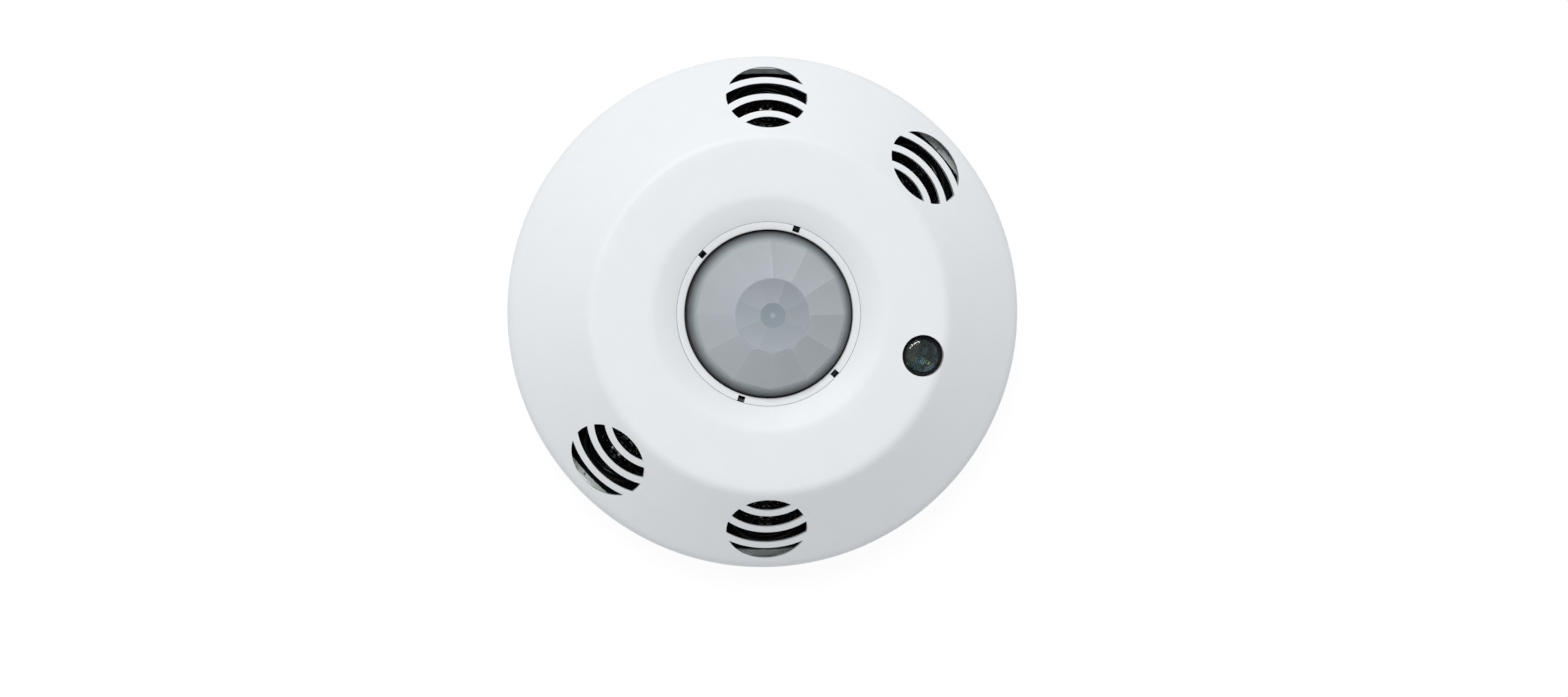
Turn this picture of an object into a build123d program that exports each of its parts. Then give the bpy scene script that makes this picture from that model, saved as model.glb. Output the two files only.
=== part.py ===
from build123d import *
import os
from math import cos, radians, sin, tan

# A round ceiling motion sensor that listens with four ultrasonic transducers and
# looks through an infrared lens. It is drawn lying on its back, as on a bench:
# Z is 0 on the face that meets the ceiling, and +Z points out through the lens.
# All sizes are in millimetres and all angles in degrees, anticlockwise from +X.

# ---------------------------------------------------------------- front cover
COVER_DIAMETER = 114.3  # 4.5 in
HEIGHT = 38.1  # 1.5 in, ceiling to the tip of the lens
FACE_HEIGHT = 28.2
SHOULDER_HEIGHT = 13.3  # where the straight skirt would meet the slope
SLOPE = 40
SKIRT_BOTTOM = 1.0
WALL = 2.2
SHOULDER_ROUND = 5.0
FACE_EDGE_ROUND = 3.5
DISH_RADIUS = 25.6
DISH_SLOPE = 17
DISH_EDGE_ROUND = 6.0
SMALL_ROUND = 0.4

# grille: a round opening crossed by three curved bars
GRILLE_DIAMETER = 18.0
GRILLE_OFFSET = 8.35  # level distance from the edge of the flat face to the opening's centre
BAR_WIDTH = 1.75
GRILLE_BARS = ((5.0, 15.1), (0.1, 12.0), (-4.9, 9.2))  # place outward, radius of the arc
TRANSDUCER_ANGLES = (42.5, 90.0, 222.5, 270.0)

# window over the light sensor
WINDOW_DIAMETER = 9.2
WINDOW_INSET = 4.3  # in from the edge of the flat face
WINDOW_ANGLE = -15.2

# ribs inside the skirt that slide in grooves of the rear housing
RIB_ANGLES = (5.0, 120.0, 185.0, 300.0)
RIB_WIDTH = 7.0
RIB_DEPTH = 0.6
RIB_TOP = 11.0

# ------------------------------------------------------------------ clearances
SLIDE_GAP = 0.3  # between bodies that slide or turn past each other
LOOSE_GAP = 0.2  # between pieces that are put together once
SPINDLE_GAP = 0.05  # radial running fit of the trim knobs
CUT_MARGIN = 0.5  # how far a cut runs past the face it opens

# --------------------------------------------------------------- mounting base
BASE_RADIUS = 50.0
BASE_THICKNESS = 3.4
SLOT_SPACING = 86.1  # between slot centres, for boxes drilled 83.3 to 88.9 apart
SLOT_TRAVEL = 2.8
SCREW_SLOT_WIDTH = 4.6
SCREW_HEAD_WIDTH = 9.2
SCREW_HEAD_DEPTH = 2.0
HUB_RADIUS = 21.0
HUB_BORE_RADIUS = 18.5
LUG_COUNT = 3
LUG_REACH = 2.5
LUG_ANGLE = 24
LUG_THICKNESS = 1.4
LUG_FIRST_ANGLE = 30
UNLOCK_ANGLE = 30
LUG_ANGLE_GAP = 1  # at each end of a lug, in degrees
STOP_ANGLE_GAP = 3  # from the end of a lug to its stop, in degrees

# ---------------------------------------------------------------- rear housing
HOUSING_FLOOR = 1.2
HOUSING_WALL = 1.1
HOUSING_GAP = 0.4  # between the housing and the skirt of the cover
HOUSING_WALL_TOP = 9.0
WALL_NOTCH_WIDTH = 1.2
WALL_NOTCH_DEPTH = 1.0
WALL_NOTCH_REACH = 0.8  # into the wall from inside
STOP_WIDTH = 1.0
STOP_HEIGHT = 1.5
PILLAR_RADIUS = 3.2

# ----------------------------------------------------------------------- board
BOARD_BOTTOM = 8.6
BOARD_THICKNESS = 1.6
BOARD_EDGE_GAP = 1.5
BOARD_SCREW_INSET = 4.5
BOARD_SCREW_ANGLES = (66.0, 168.0, 246.0, 324.0)
SCREW_RADIUS = 1.2
SCREW_HEAD_RADIUS = 2.4
SCREW_HEAD_HEIGHT = 1.6
SCREW_LENGTH = 4.6
DRIVE_LENGTH = 3.1
DRIVE_WIDTH = 0.6
DRIVE_DEPTH = 0.8

# ------------------------------------------------------ ultrasonic transducers
CAN_RADIUS = 8.0
CAN_LENGTH = 8.0
CAN_WALL = 0.6
CAN_RECESS = 1.6
FACE_SETBACK = 4.2  # from the sloping surface of the cover back to the can's face
SCREEN_THICKNESS = 0.4
SCREEN_RINGS = (1.5, 3.3, 5.1)
SCREEN_RING_WIDTH = 0.8
SCREEN_SPOKES = 6
SPOKE_WIDTH = 0.8
BOOT_WALL = 0.9
BOOT_LIP_SETBACK = 1.0
BOOT_FLOOR = 0.8
BOOT_CHAMFER = 0.7
CRADLE_WALL = 1.2
CRADLE_LENGTH = 5.0
CRADLE_SETBACK = 1.5
POST_WIDTH = 5.0
FOOT_WIDTH = 3.4
FOOT_THICKNESS = 1.0

# ------------------------------------------------------------- lens and its ring
LENS_RADIUS = 18.2
LENS_WALL = 0.8
LENS_FLANGE_RADIUS = 19.0
LENS_FLANGE_BOTTOM = 24.2
LENS_FLANGE_THICKNESS = 1.0
HOLDER_RADIUS = 19.2
HOLDER_WALL = 1.6
HOLDER_FOOT_RADIUS = 21.5
HOLDER_FOOT_THICKNESS = 1.2
RING_RADIUS = 20.2
RING_SKIRT_BOTTOM = 20.5
RING_TOP_ROUND = 0.5
COVER_OPENING_GAP = 0.15
SPANNER_NOTCH_ANGLES = (72.0, 138.0, 252.0, 318.0)
SPANNER_NOTCH_WIDTH = 1.4
SPANNER_NOTCH_DEPTH = 1.1
SPANNER_NOTCH_HEIGHT = 5.0

# ------------------------------------------------------------ infrared detector
SPACER_RADIUS = 5.0
SPACER_HEIGHT = 8.0
HEADER_RADIUS = 4.6
HEADER_THICKNESS = 0.5
DETECTOR_RADIUS = 4.1
DETECTOR_HEIGHT = 4.0
DETECTOR_WALL = 0.4
FILTER_LENGTH = 4.6
FILTER_WIDTH = 3.4

# ------------------------------------------------------------------- light pipe
PIPE_RADIUS = 3.7
PIPE_ABOVE_PHOTOCELL = 1.4
PIPE_TOP_BELOW_FACE = 1.8
PIPE_SLEEVE_WALL = 0.6
PIPE_FIT = 0.05
PHOTOCELL_LENGTH = 3.6
PHOTOCELL_WIDTH = 3.0
PHOTOCELL_HEIGHT = 1.4
PHOTOCELL_OFFSET = 0.9
LED_LENGTH = 1.6
LED_WIDTH = 1.0
LED_HEIGHT = 0.8
LED_OFFSET = 2.3
LED_SPACING = 2.4

# ------------------------------------------------------------ trim potentiometers
PARTS_CIRCLE = 29.5  # radius on which the controls and larger parts stand
TRIM_ANGLES = (3.0, 20.0, 112.0, 130.0)
TRIM_BODY = 6.6
TRIM_HEIGHT = 3.6
TRIM_CORNER = 0.8
SPINDLE_RADIUS = 1.45
SPINDLE_LENGTH = 2.0
KNOB_RADIUS = 2.9
KNOB_HEIGHT = 3.2
KNOB_SLOT_WIDTH = 0.8
KNOB_SLOT_DEPTH = 1.2

# ------------------------------------------------------------------ DIP switches
DIP_ANGLES = (153.0, 183.0)
DIP_WAYS = 4
DIP_PITCH = 2.54
DIP_LENGTH = 11.4
DIP_WIDTH = 6.6
DIP_HEIGHT = 4.0
DIP_SLOT_LENGTH = 3.6
DIP_SLOT_WIDTH = 1.6
DIP_SLOT_DEPTH = 1.2
SLIDER_LENGTH = 1.5
SLIDER_TRAVEL = 1.8
SLIDER_ABOVE = 0.9
SLIDER_SIDE_GAP = 0.1

# --------------------------------------------------------------- terminal block
TERMINAL_WAYS = 5
TERMINAL_PITCH = 3.5
TERMINAL_WIDTH = 7.2
TERMINAL_HEIGHT = 7.2
WIRE_HOLE_WIDTH = 2.2
WIRE_HOLE_HEIGHT = 2.4
WIRE_HOLE_DEPTH = 4.6
TERMINAL_SCREW_RADIUS = 1.2
TERMINAL_SCREW_HEIGHT = 1.4
TERMINAL_WELL_DEPTH = 2.2
TERMINAL_WELL_RADIUS = 1.3

# ---------------------------------------------------------- other parts on board
RELAY_ANGLE = 301.0
RELAY_CIRCLE = 27.5
RELAY_SIZE = (10.2, 15.4, 11.0)  # radial, tangential, height
CHIP_CIRCLE = 26.0
CHIP_ANGLE = 66.0
CHIP_SIZE = 7.0
CHIP_HEIGHT = 1.2
AMPLIFIER_SIZE = (3.9, 8.6, 1.5)
AMPLIFIER_CIRCLE = 25.2
CRYSTAL_ANGLE = 204.0
CRYSTAL_CIRCLE = 28.5
CRYSTAL_LENGTH = 10.8
CRYSTAL_WIDTH = 4.6
CRYSTAL_HEIGHT = 3.4
REGULATOR_ANGLE = 345.0
REGULATOR_CIRCLE = 27.0
REGULATOR_SIZE = (6.1, 6.6, 2.3)
CAPACITOR_PLACES = ((27.0, 246.0), (26.0, 326.0))  # radius, angle
CAPACITOR_RADIUS = 3.0
CAPACITOR_HEIGHT = 7.2

# --------------------------------------------------------------- worked-out sizes
COVER_RADIUS = COVER_DIAMETER / 2
SLOPE_RUN = (FACE_HEIGHT - SHOULDER_HEIGHT) / tan(radians(SLOPE))
FACE_RADIUS = COVER_RADIUS - SLOPE_RUN
SKIRT_INNER_RADIUS = COVER_RADIUS - WALL
OPENING_RADIUS = RING_RADIUS + COVER_OPENING_GAP
DISH_DROP = (DISH_RADIUS - OPENING_RADIUS) * tan(radians(DISH_SLOPE))
LIP_HEIGHT = FACE_HEIGHT - DISH_DROP
GRILLE_RADIUS = FACE_RADIUS + GRILLE_OFFSET
GRILLE_HEIGHT = FACE_HEIGHT - (GRILLE_RADIUS - FACE_RADIUS) * tan(radians(SLOPE))
WINDOW_CIRCLE = FACE_RADIUS - WINDOW_INSET
THROUGH_WALL = 2 * WALL  # each way from the outer face, so that a cut clears both faces

FLOOR_BOTTOM = BASE_THICKNESS + SLIDE_GAP
FLOOR_TOP = FLOOR_BOTTOM + HOUSING_FLOOR
HOUSING_RADIUS = SKIRT_INNER_RADIUS - HOUSING_GAP
HUB_TOP = FLOOR_TOP + SLIDE_GAP + LUG_THICKNESS
BOARD_TOP = BOARD_BOTTOM + BOARD_THICKNESS

BOOT_RADIUS = CAN_RADIUS + BOOT_WALL
BOOT_BOTTOM = FACE_SETBACK + CAN_LENGTH + BOOT_FLOOR  # depth under the sloping surface
CRADLE_TOP = FACE_SETBACK + CRADLE_SETBACK
CRADLE_BORE = BOOT_RADIUS + LOOSE_GAP

LENS_FLANGE_TOP = LENS_FLANGE_BOTTOM + LENS_FLANGE_THICKNESS
HEADER_BOTTOM = BOARD_TOP + SPACER_HEIGHT
DETECTOR_BOTTOM = HEADER_BOTTOM + HEADER_THICKNESS
DETECTOR_TOP = DETECTOR_BOTTOM + DETECTOR_HEIGHT
PIPE_BOTTOM = BOARD_TOP + PHOTOCELL_HEIGHT + PIPE_ABOVE_PHOTOCELL
PIPE_SLEEVE_TOP = FACE_HEIGHT - WALL - SLIDE_GAP
DIP_TOP = BOARD_TOP + DIP_HEIGHT


def boot_tail_radius(height):
    """Distance from the axis of the sensor to the back of a transducer boot at a height."""
    tail_radius = GRILLE_RADIUS - BOOT_BOTTOM * sin(radians(SLOPE))
    tail_height = GRILLE_HEIGHT - BOOT_BOTTOM * cos(radians(SLOPE))
    return tail_radius + (tail_height - height) / tan(radians(SLOPE))


BOARD_RADIUS = boot_tail_radius(BOARD_TOP) - BOARD_EDGE_GAP
BOARD_SCREW_CIRCLE = BOARD_RADIUS - BOARD_SCREW_INSET


def spot(radius, angle, height):
    """Level plane at a polar place, with local X pointing away from the sensor's axis."""
    outward = (cos(radians(angle)), sin(radians(angle)), 0)
    place = (radius * outward[0], radius * outward[1], height)
    return Plane(origin=place, x_dir=outward, z_dir=(0, 0, 1))


def slope_plane(angle, depth=0.0):
    """Plane along the sloping face, a depth under it, with local X pointing down the slope."""
    across = (cos(radians(angle)), sin(radians(angle)))
    normal = (sin(radians(SLOPE)) * across[0], sin(radians(SLOPE)) * across[1], cos(radians(SLOPE)))
    down = (cos(radians(SLOPE)) * across[0], cos(radians(SLOPE)) * across[1], -sin(radians(SLOPE)))
    surface = (GRILLE_RADIUS * across[0], GRILLE_RADIUS * across[1], GRILLE_HEIGHT)
    place = tuple(s - depth * n for s, n in zip(surface, normal))
    return Plane(origin=place, x_dir=down, z_dir=normal)


def save(piece, name):
    """Label a finished piece and write it as its own file."""
    piece.part.label = name
    export_step(piece.part, f"parts/{name}.step")


os.makedirs("parts", exist_ok=True)

# ---------------------------------------------------------------- front_cover
# One moulded shell: skirt, sloping side, flat face and a shallow dish down to
# the round opening for the lens.
with BuildPart() as front_cover:
    wall_on_slope = WALL / cos(radians(SLOPE))
    wall_on_dish = WALL / cos(radians(DISH_SLOPE))
    inner_face = FACE_HEIGHT - WALL
    inner_shoulder = (
        FACE_HEIGHT - (SKIRT_INNER_RADIUS - FACE_RADIUS) * tan(radians(SLOPE)) - wall_on_slope
    )
    with BuildSketch(Plane.XZ):
        with BuildLine():
            FilletPolyline(
                (COVER_RADIUS, SKIRT_BOTTOM),
                (COVER_RADIUS, SHOULDER_HEIGHT),
                (FACE_RADIUS, FACE_HEIGHT),
                (DISH_RADIUS, FACE_HEIGHT),
                (OPENING_RADIUS, LIP_HEIGHT),
                (OPENING_RADIUS, LIP_HEIGHT - wall_on_dish),
                (DISH_RADIUS + WALL * tan(radians(DISH_SLOPE / 2)), inner_face),
                (FACE_RADIUS - WALL * tan(radians(SLOPE / 2)), inner_face),
                (SKIRT_INNER_RADIUS, inner_shoulder),
                (SKIRT_INNER_RADIUS, SKIRT_BOTTOM),
                close=True,
                radius=[
                    SMALL_ROUND,
                    SHOULDER_ROUND,
                    FACE_EDGE_ROUND,
                    DISH_EDGE_ROUND,
                    SMALL_ROUND,
                    SMALL_ROUND,
                    DISH_EDGE_ROUND - WALL,
                    FACE_EDGE_ROUND - WALL,
                    SHOULDER_ROUND - WALL,
                    SMALL_ROUND,
                ],
            )
        make_face()
    revolve(axis=Axis.Z)

    # The gaps are drawn on the slope but cut straight down, as the mould opens.
    for angle in TRANSDUCER_ANGLES:
        with BuildSketch(slope_plane(angle)):
            Circle(GRILLE_DIAMETER / 2)
            for place, radius in GRILLE_BARS:
                with BuildSketch(mode=Mode.SUBTRACT):
                    with Locations((place - radius, 0)):
                        Circle(radius + BAR_WIDTH / 2)
                        Circle(radius - BAR_WIDTH / 2, mode=Mode.SUBTRACT)
        extrude(amount=THROUGH_WALL, dir=(0, 0, 1), both=True, mode=Mode.SUBTRACT)

    with BuildSketch(spot(WINDOW_CIRCLE, WINDOW_ANGLE, FACE_HEIGHT)):
        Circle(WINDOW_DIAMETER / 2)
    extrude(amount=THROUGH_WALL, both=True, mode=Mode.SUBTRACT)

    for angle in RIB_ANGLES:
        with BuildSketch(spot(SKIRT_INNER_RADIUS, angle, SKIRT_BOTTOM + SMALL_ROUND)):
            Rectangle(RIB_DEPTH * 2, RIB_WIDTH)
        extrude(amount=RIB_TOP - SKIRT_BOTTOM - SMALL_ROUND)
save(front_cover, "front_cover")

# --------------------------------------------------------------- mounting_base
# A plate that is screwed over the junction box. A hub with three lugs holds the
# sensor, which goes on with a twist, and the wires come through the hub.
with BuildPart() as mounting_base:
    with BuildSketch():
        Circle(BASE_RADIUS)
    extrude(amount=BASE_THICKNESS)
    with BuildSketch(Plane.XY.offset(BASE_THICKNESS)):
        Circle(HUB_RADIUS)
    extrude(amount=HUB_TOP - BASE_THICKNESS)

    with BuildSketch(Plane.XY.offset(FLOOR_TOP + SLIDE_GAP)):
        for turn in range(LUG_COUNT):
            middle = LUG_FIRST_ANGLE + turn * 360 / LUG_COUNT
            with BuildLine():
                start = middle - LUG_ANGLE / 2
                outer = CenterArc((0, 0), HUB_RADIUS + LUG_REACH, start, LUG_ANGLE)
                inner = CenterArc((0, 0), (HUB_BORE_RADIUS + HUB_RADIUS) / 2, start, LUG_ANGLE)
                Line(outer @ 0, inner @ 0)
                Line(outer @ 1, inner @ 1)
            make_face()
    extrude(amount=LUG_THICKNESS)

    with BuildSketch():
        Circle(HUB_BORE_RADIUS)
    extrude(amount=HUB_TOP, mode=Mode.SUBTRACT)

    with BuildSketch():
        with Locations((-SLOT_SPACING / 2, 0), (SLOT_SPACING / 2, 0)):
            SlotCenterToCenter(SLOT_TRAVEL, SCREW_SLOT_WIDTH)
    extrude(amount=BASE_THICKNESS, mode=Mode.SUBTRACT)
    with BuildSketch(Plane.XY.offset(BASE_THICKNESS - SCREW_HEAD_DEPTH)):
        with Locations((-SLOT_SPACING / 2, 0), (SLOT_SPACING / 2, 0)):
            SlotCenterToCenter(SLOT_TRAVEL, SCREW_HEAD_WIDTH)
    extrude(amount=SCREW_HEAD_DEPTH, mode=Mode.SUBTRACT)
save(mounting_base, "mounting_base")

# ---------------------------------------------------------------- rear_housing
# A shallow pan behind the board. Its middle opening takes the hub of the base,
# and three gaps let the lugs through when the sensor is turned to unlock it.
with BuildPart() as rear_housing:
    with BuildSketch(Plane.XY.offset(FLOOR_BOTTOM)):
        Circle(HOUSING_RADIUS)
    extrude(amount=HOUSING_WALL_TOP - FLOOR_BOTTOM)
    with BuildSketch(Plane.XY.offset(FLOOR_TOP)):
        Circle(HOUSING_RADIUS - HOUSING_WALL)
    extrude(amount=HOUSING_WALL_TOP - FLOOR_TOP, mode=Mode.SUBTRACT)

    for turn in range(LUG_COUNT):
        middle = LUG_FIRST_ANGLE + turn * 360 / LUG_COUNT
        reach = HUB_RADIUS + 2 * SLIDE_GAP + LUG_REACH / 2
        to_stop = LUG_ANGLE / 2 + STOP_ANGLE_GAP
        unlocked = middle - UNLOCK_ANGLE - LUG_ANGLE_GAP
        for stop_angle in (middle + to_stop, unlocked - to_stop):
            with BuildSketch(spot(reach, stop_angle, FLOOR_TOP)):
                Rectangle(LUG_REACH - SLIDE_GAP, STOP_WIDTH)
            extrude(amount=STOP_HEIGHT)

    with BuildSketch(Plane.XY.offset(FLOOR_BOTTOM)):
        Circle(HUB_RADIUS + SLIDE_GAP)
        for turn in range(LUG_COUNT):
            middle = LUG_FIRST_ANGLE - UNLOCK_ANGLE + turn * 360 / LUG_COUNT
            with BuildLine():
                start = middle - LUG_ANGLE / 2 - LUG_ANGLE_GAP
                sweep = LUG_ANGLE + 2 * LUG_ANGLE_GAP
                outer = CenterArc((0, 0), HUB_RADIUS + LUG_REACH + SLIDE_GAP, start, sweep)
                inner = CenterArc((0, 0), HUB_RADIUS - CUT_MARGIN, start, sweep)
                Line(outer @ 0, inner @ 0)
                Line(outer @ 1, inner @ 1)
            make_face()
    extrude(amount=HOUSING_FLOOR, mode=Mode.SUBTRACT)

    for angle in BOARD_SCREW_ANGLES:
        with BuildSketch(spot(BOARD_SCREW_CIRCLE, angle, FLOOR_TOP)):
            Circle(PILLAR_RADIUS)
        extrude(amount=BOARD_BOTTOM - FLOOR_TOP)
        with BuildSketch(spot(BOARD_SCREW_CIRCLE, angle, FLOOR_TOP)):
            Circle(SCREW_RADIUS + SPINDLE_GAP)
        extrude(amount=BOARD_BOTTOM - FLOOR_TOP, mode=Mode.SUBTRACT)

    for angle in RIB_ANGLES:
        with BuildSketch(spot(HOUSING_RADIUS, angle, FLOOR_BOTTOM)):
            groove_depth = RIB_DEPTH + SLIDE_GAP - (SKIRT_INNER_RADIUS - HOUSING_RADIUS)
            Rectangle(groove_depth * 2, RIB_WIDTH + 2 * SLIDE_GAP)
        extrude(amount=HOUSING_WALL_TOP - FLOOR_BOTTOM, mode=Mode.SUBTRACT)
    for angle in TRANSDUCER_ANGLES:
        inner_wall = HOUSING_RADIUS - HOUSING_WALL
        with BuildSketch(spot(inner_wall, angle, HOUSING_WALL_TOP - WALL_NOTCH_DEPTH)):
            Rectangle(2 * WALL_NOTCH_REACH, WALL_NOTCH_WIDTH)
        extrude(amount=WALL_NOTCH_DEPTH, mode=Mode.SUBTRACT)
save(rear_housing, "rear_housing")

# ------------------------------------------------------- main_board and screws
with BuildPart() as main_board:
    with BuildSketch(Plane.XY.offset(BOARD_BOTTOM)):
        Circle(BOARD_RADIUS)
    extrude(amount=BOARD_THICKNESS)
    for angle in BOARD_SCREW_ANGLES:
        with BuildSketch(spot(BOARD_SCREW_CIRCLE, angle, BOARD_BOTTOM)):
            Circle(SCREW_RADIUS + LOOSE_GAP)
        extrude(amount=BOARD_THICKNESS, mode=Mode.SUBTRACT)
save(main_board, "main_board")

with BuildPart() as board_screws:
    for angle in BOARD_SCREW_ANGLES:
        with BuildSketch(spot(BOARD_SCREW_CIRCLE, angle, BOARD_TOP - SCREW_LENGTH)):
            Circle(SCREW_RADIUS)
        extrude(amount=SCREW_LENGTH)
        with BuildSketch(spot(BOARD_SCREW_CIRCLE, angle, BOARD_TOP)):
            Circle(SCREW_HEAD_RADIUS)
        extrude(amount=SCREW_HEAD_HEIGHT)
        head_top = BOARD_TOP + SCREW_HEAD_HEIGHT
        with BuildSketch(spot(BOARD_SCREW_CIRCLE, angle, head_top - DRIVE_DEPTH)):
            Rectangle(DRIVE_LENGTH, DRIVE_WIDTH)
            Rectangle(DRIVE_WIDTH, DRIVE_LENGTH)
        extrude(amount=DRIVE_DEPTH, mode=Mode.SUBTRACT)
save(board_screws, "board_screws")

# ----------------------------------------------------- ultrasonic transducers
# Each is an aluminium can with a screen over its face, in a rubber boot that
# keeps vibration out of the housing, in a tilted cradle on the housing floor.
for number, angle in enumerate(TRANSDUCER_ANGLES, start=1):
    with BuildPart() as transducer_can:
        with BuildSketch(slope_plane(angle, FACE_SETBACK + CAN_LENGTH)):
            Circle(CAN_RADIUS)
        extrude(amount=CAN_LENGTH)
        with BuildSketch(slope_plane(angle, FACE_SETBACK + CAN_RECESS)):
            Circle(CAN_RADIUS - CAN_WALL)
        extrude(amount=CAN_RECESS, mode=Mode.SUBTRACT)
    save(transducer_can, f"transducer_can_{number}")

    with BuildPart() as transducer_screen:
        with BuildSketch(slope_plane(angle, FACE_SETBACK + SCREEN_THICKNESS)):
            Circle(CAN_RADIUS - CAN_WALL)
            Circle(CAN_RADIUS - CAN_WALL - SCREEN_RING_WIDTH, mode=Mode.SUBTRACT)
            for ring_radius in SCREEN_RINGS:
                Circle(ring_radius)
                Circle(ring_radius - SCREEN_RING_WIDTH, mode=Mode.SUBTRACT)
            with PolarLocations(0, SCREEN_SPOKES):
                spoke_length = CAN_RADIUS - CAN_WALL - SCREEN_RING_WIDTH / 2
                Rectangle(spoke_length, SPOKE_WIDTH, align=(Align.MIN, Align.CENTER))
        extrude(amount=SCREEN_THICKNESS)
    save(transducer_screen, f"transducer_screen_{number}")

    with BuildPart() as transducer_boot:
        with BuildSketch(slope_plane(angle, BOOT_BOTTOM)):
            Circle(BOOT_RADIUS)
        extrude(amount=BOOT_BOTTOM - FACE_SETBACK - BOOT_LIP_SETBACK)
        rims = transducer_boot.edges().filter_by(GeomType.CIRCLE)
        chamfer(rims.sort_by(Axis.Z)[0], BOOT_CHAMFER)
        with BuildSketch(slope_plane(angle, FACE_SETBACK + CAN_LENGTH)):
            Circle(CAN_RADIUS)
        extrude(amount=CAN_LENGTH, mode=Mode.SUBTRACT)
    save(transducer_boot, f"transducer_boot_{number}")

    with BuildPart() as transducer_cradle:
        sleeve_middle = CRADLE_TOP + CRADLE_LENGTH / 2
        post_radius = GRILLE_RADIUS - sleeve_middle * sin(radians(SLOPE))
        post_top = GRILLE_HEIGHT - sleeve_middle * cos(radians(SLOPE))
        with BuildSketch(slope_plane(angle, CRADLE_TOP + CRADLE_LENGTH)):
            Circle(CRADLE_BORE + CRADLE_WALL)
            Circle(CRADLE_BORE, mode=Mode.SUBTRACT)
        extrude(amount=CRADLE_LENGTH)
        with BuildSketch(spot(post_radius, angle, FLOOR_TOP)):
            post_offset = CRADLE_BORE + LOOSE_GAP + CRADLE_WALL / 2
            with Locations((0, -post_offset), (0, post_offset)):
                Rectangle(POST_WIDTH, CRADLE_WALL)
        extrude(amount=post_top - FLOOR_TOP)
        with BuildSketch(spot(post_radius - POST_WIDTH / 2, angle, FLOOR_TOP)):
            foot_length = 2 * post_offset + CRADLE_WALL
            Rectangle(FOOT_WIDTH, foot_length, align=(Align.MIN, Align.CENTER))
        extrude(amount=FOOT_THICKNESS)
    save(transducer_cradle, f"transducer_cradle_{number}")

# ------------------------------------------------------------- lens and its ring
# The lens drops on the black holder and the ring, turned on with a spanner,
# clamps its flange.
with BuildPart() as lens_holder:
    with BuildSketch(Plane.XY.offset(BOARD_TOP)):
        Circle(HOLDER_FOOT_RADIUS)
    extrude(amount=HOLDER_FOOT_THICKNESS)
    with BuildSketch(Plane.XY.offset(BOARD_TOP)):
        Circle(HOLDER_RADIUS)
    extrude(amount=LENS_FLANGE_BOTTOM - BOARD_TOP)
    with BuildSketch(Plane.XY.offset(BOARD_TOP)):
        Circle(HOLDER_RADIUS - HOLDER_WALL)
    extrude(amount=LENS_FLANGE_BOTTOM - BOARD_TOP, mode=Mode.SUBTRACT)
save(lens_holder, "lens_holder")

with BuildPart() as pir_lens:
    with BuildSketch(Plane.XZ):
        with BuildLine():
            domes = []
            for inset in (0, LENS_WALL):
                radius = LENS_RADIUS - inset
                rise = HEIGHT - inset - LENS_FLANGE_TOP
                shoulder = (radius * cos(radians(45)), LENS_FLANGE_TOP + rise * sin(radians(45)))
                domes.append(
                    Spline(
                        (radius, LENS_FLANGE_TOP),
                        shoulder,
                        (0, LENS_FLANGE_TOP + rise),
                        tangents=((0, 1), (-1, 0)),
                    )
                )
            outer_dome, inner_dome = domes
            Line(outer_dome @ 1, inner_dome @ 1)
            Polyline(
                outer_dome @ 0,
                (LENS_FLANGE_RADIUS, LENS_FLANGE_TOP),
                (LENS_FLANGE_RADIUS, LENS_FLANGE_BOTTOM),
                (LENS_RADIUS - LENS_WALL, LENS_FLANGE_BOTTOM),
                inner_dome @ 0,
            )
        make_face()
    revolve(axis=Axis.Z)
save(pir_lens, "pir_lens")

with BuildPart() as lens_ring:
    with BuildSketch(Plane.XY.offset(RING_SKIRT_BOTTOM)):
        Circle(RING_RADIUS)
    extrude(amount=LIP_HEIGHT - RING_SKIRT_BOTTOM)
    fillet(lens_ring.faces().sort_by(Axis.Z)[-1].edges(), RING_TOP_ROUND)
    with BuildSketch(Plane.XY.offset(RING_SKIRT_BOTTOM)):
        Circle(HOLDER_RADIUS + SLIDE_GAP)
    extrude(amount=LENS_FLANGE_TOP - RING_SKIRT_BOTTOM, mode=Mode.SUBTRACT)
    with BuildSketch(Plane.XY.offset(RING_SKIRT_BOTTOM)):
        Circle(LENS_RADIUS + SLIDE_GAP)
    extrude(amount=LIP_HEIGHT - RING_SKIRT_BOTTOM, mode=Mode.SUBTRACT)
    for angle in SPANNER_NOTCH_ANGLES:
        with BuildSketch(spot(RING_RADIUS, angle, LIP_HEIGHT - SPANNER_NOTCH_HEIGHT)):
            Rectangle(SPANNER_NOTCH_DEPTH * 2, SPANNER_NOTCH_WIDTH)
        extrude(amount=SPANNER_NOTCH_HEIGHT, mode=Mode.SUBTRACT)
save(lens_ring, "lens_ring")

# ------------------------------------------------------------ infrared detector
with BuildPart() as detector_spacer:
    with BuildSketch(Plane.XY.offset(BOARD_TOP)):
        Circle(SPACER_RADIUS)
        Circle(HEADER_RADIUS / 2, mode=Mode.SUBTRACT)
    extrude(amount=SPACER_HEIGHT)
save(detector_spacer, "detector_spacer")

with BuildPart() as detector_header:
    with BuildSketch(Plane.XY.offset(HEADER_BOTTOM)):
        Circle(HEADER_RADIUS)
    extrude(amount=HEADER_THICKNESS)
save(detector_header, "detector_header")

with BuildPart() as detector_can:
    with BuildSketch(Plane.XY.offset(DETECTOR_BOTTOM)):
        Circle(DETECTOR_RADIUS)
    extrude(amount=DETECTOR_HEIGHT)
    with BuildSketch(Plane.XY.offset(DETECTOR_TOP - DETECTOR_WALL)):
        Rectangle(FILTER_LENGTH, FILTER_WIDTH)
    extrude(amount=DETECTOR_WALL, mode=Mode.SUBTRACT)
save(detector_can, "detector_can")

with BuildPart() as detector_filter:
    with BuildSketch(Plane.XY.offset(DETECTOR_TOP - DETECTOR_WALL)):
        Rectangle(FILTER_LENGTH, FILTER_WIDTH)
    extrude(amount=DETECTOR_WALL / 2)
save(detector_filter, "detector_filter")

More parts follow.
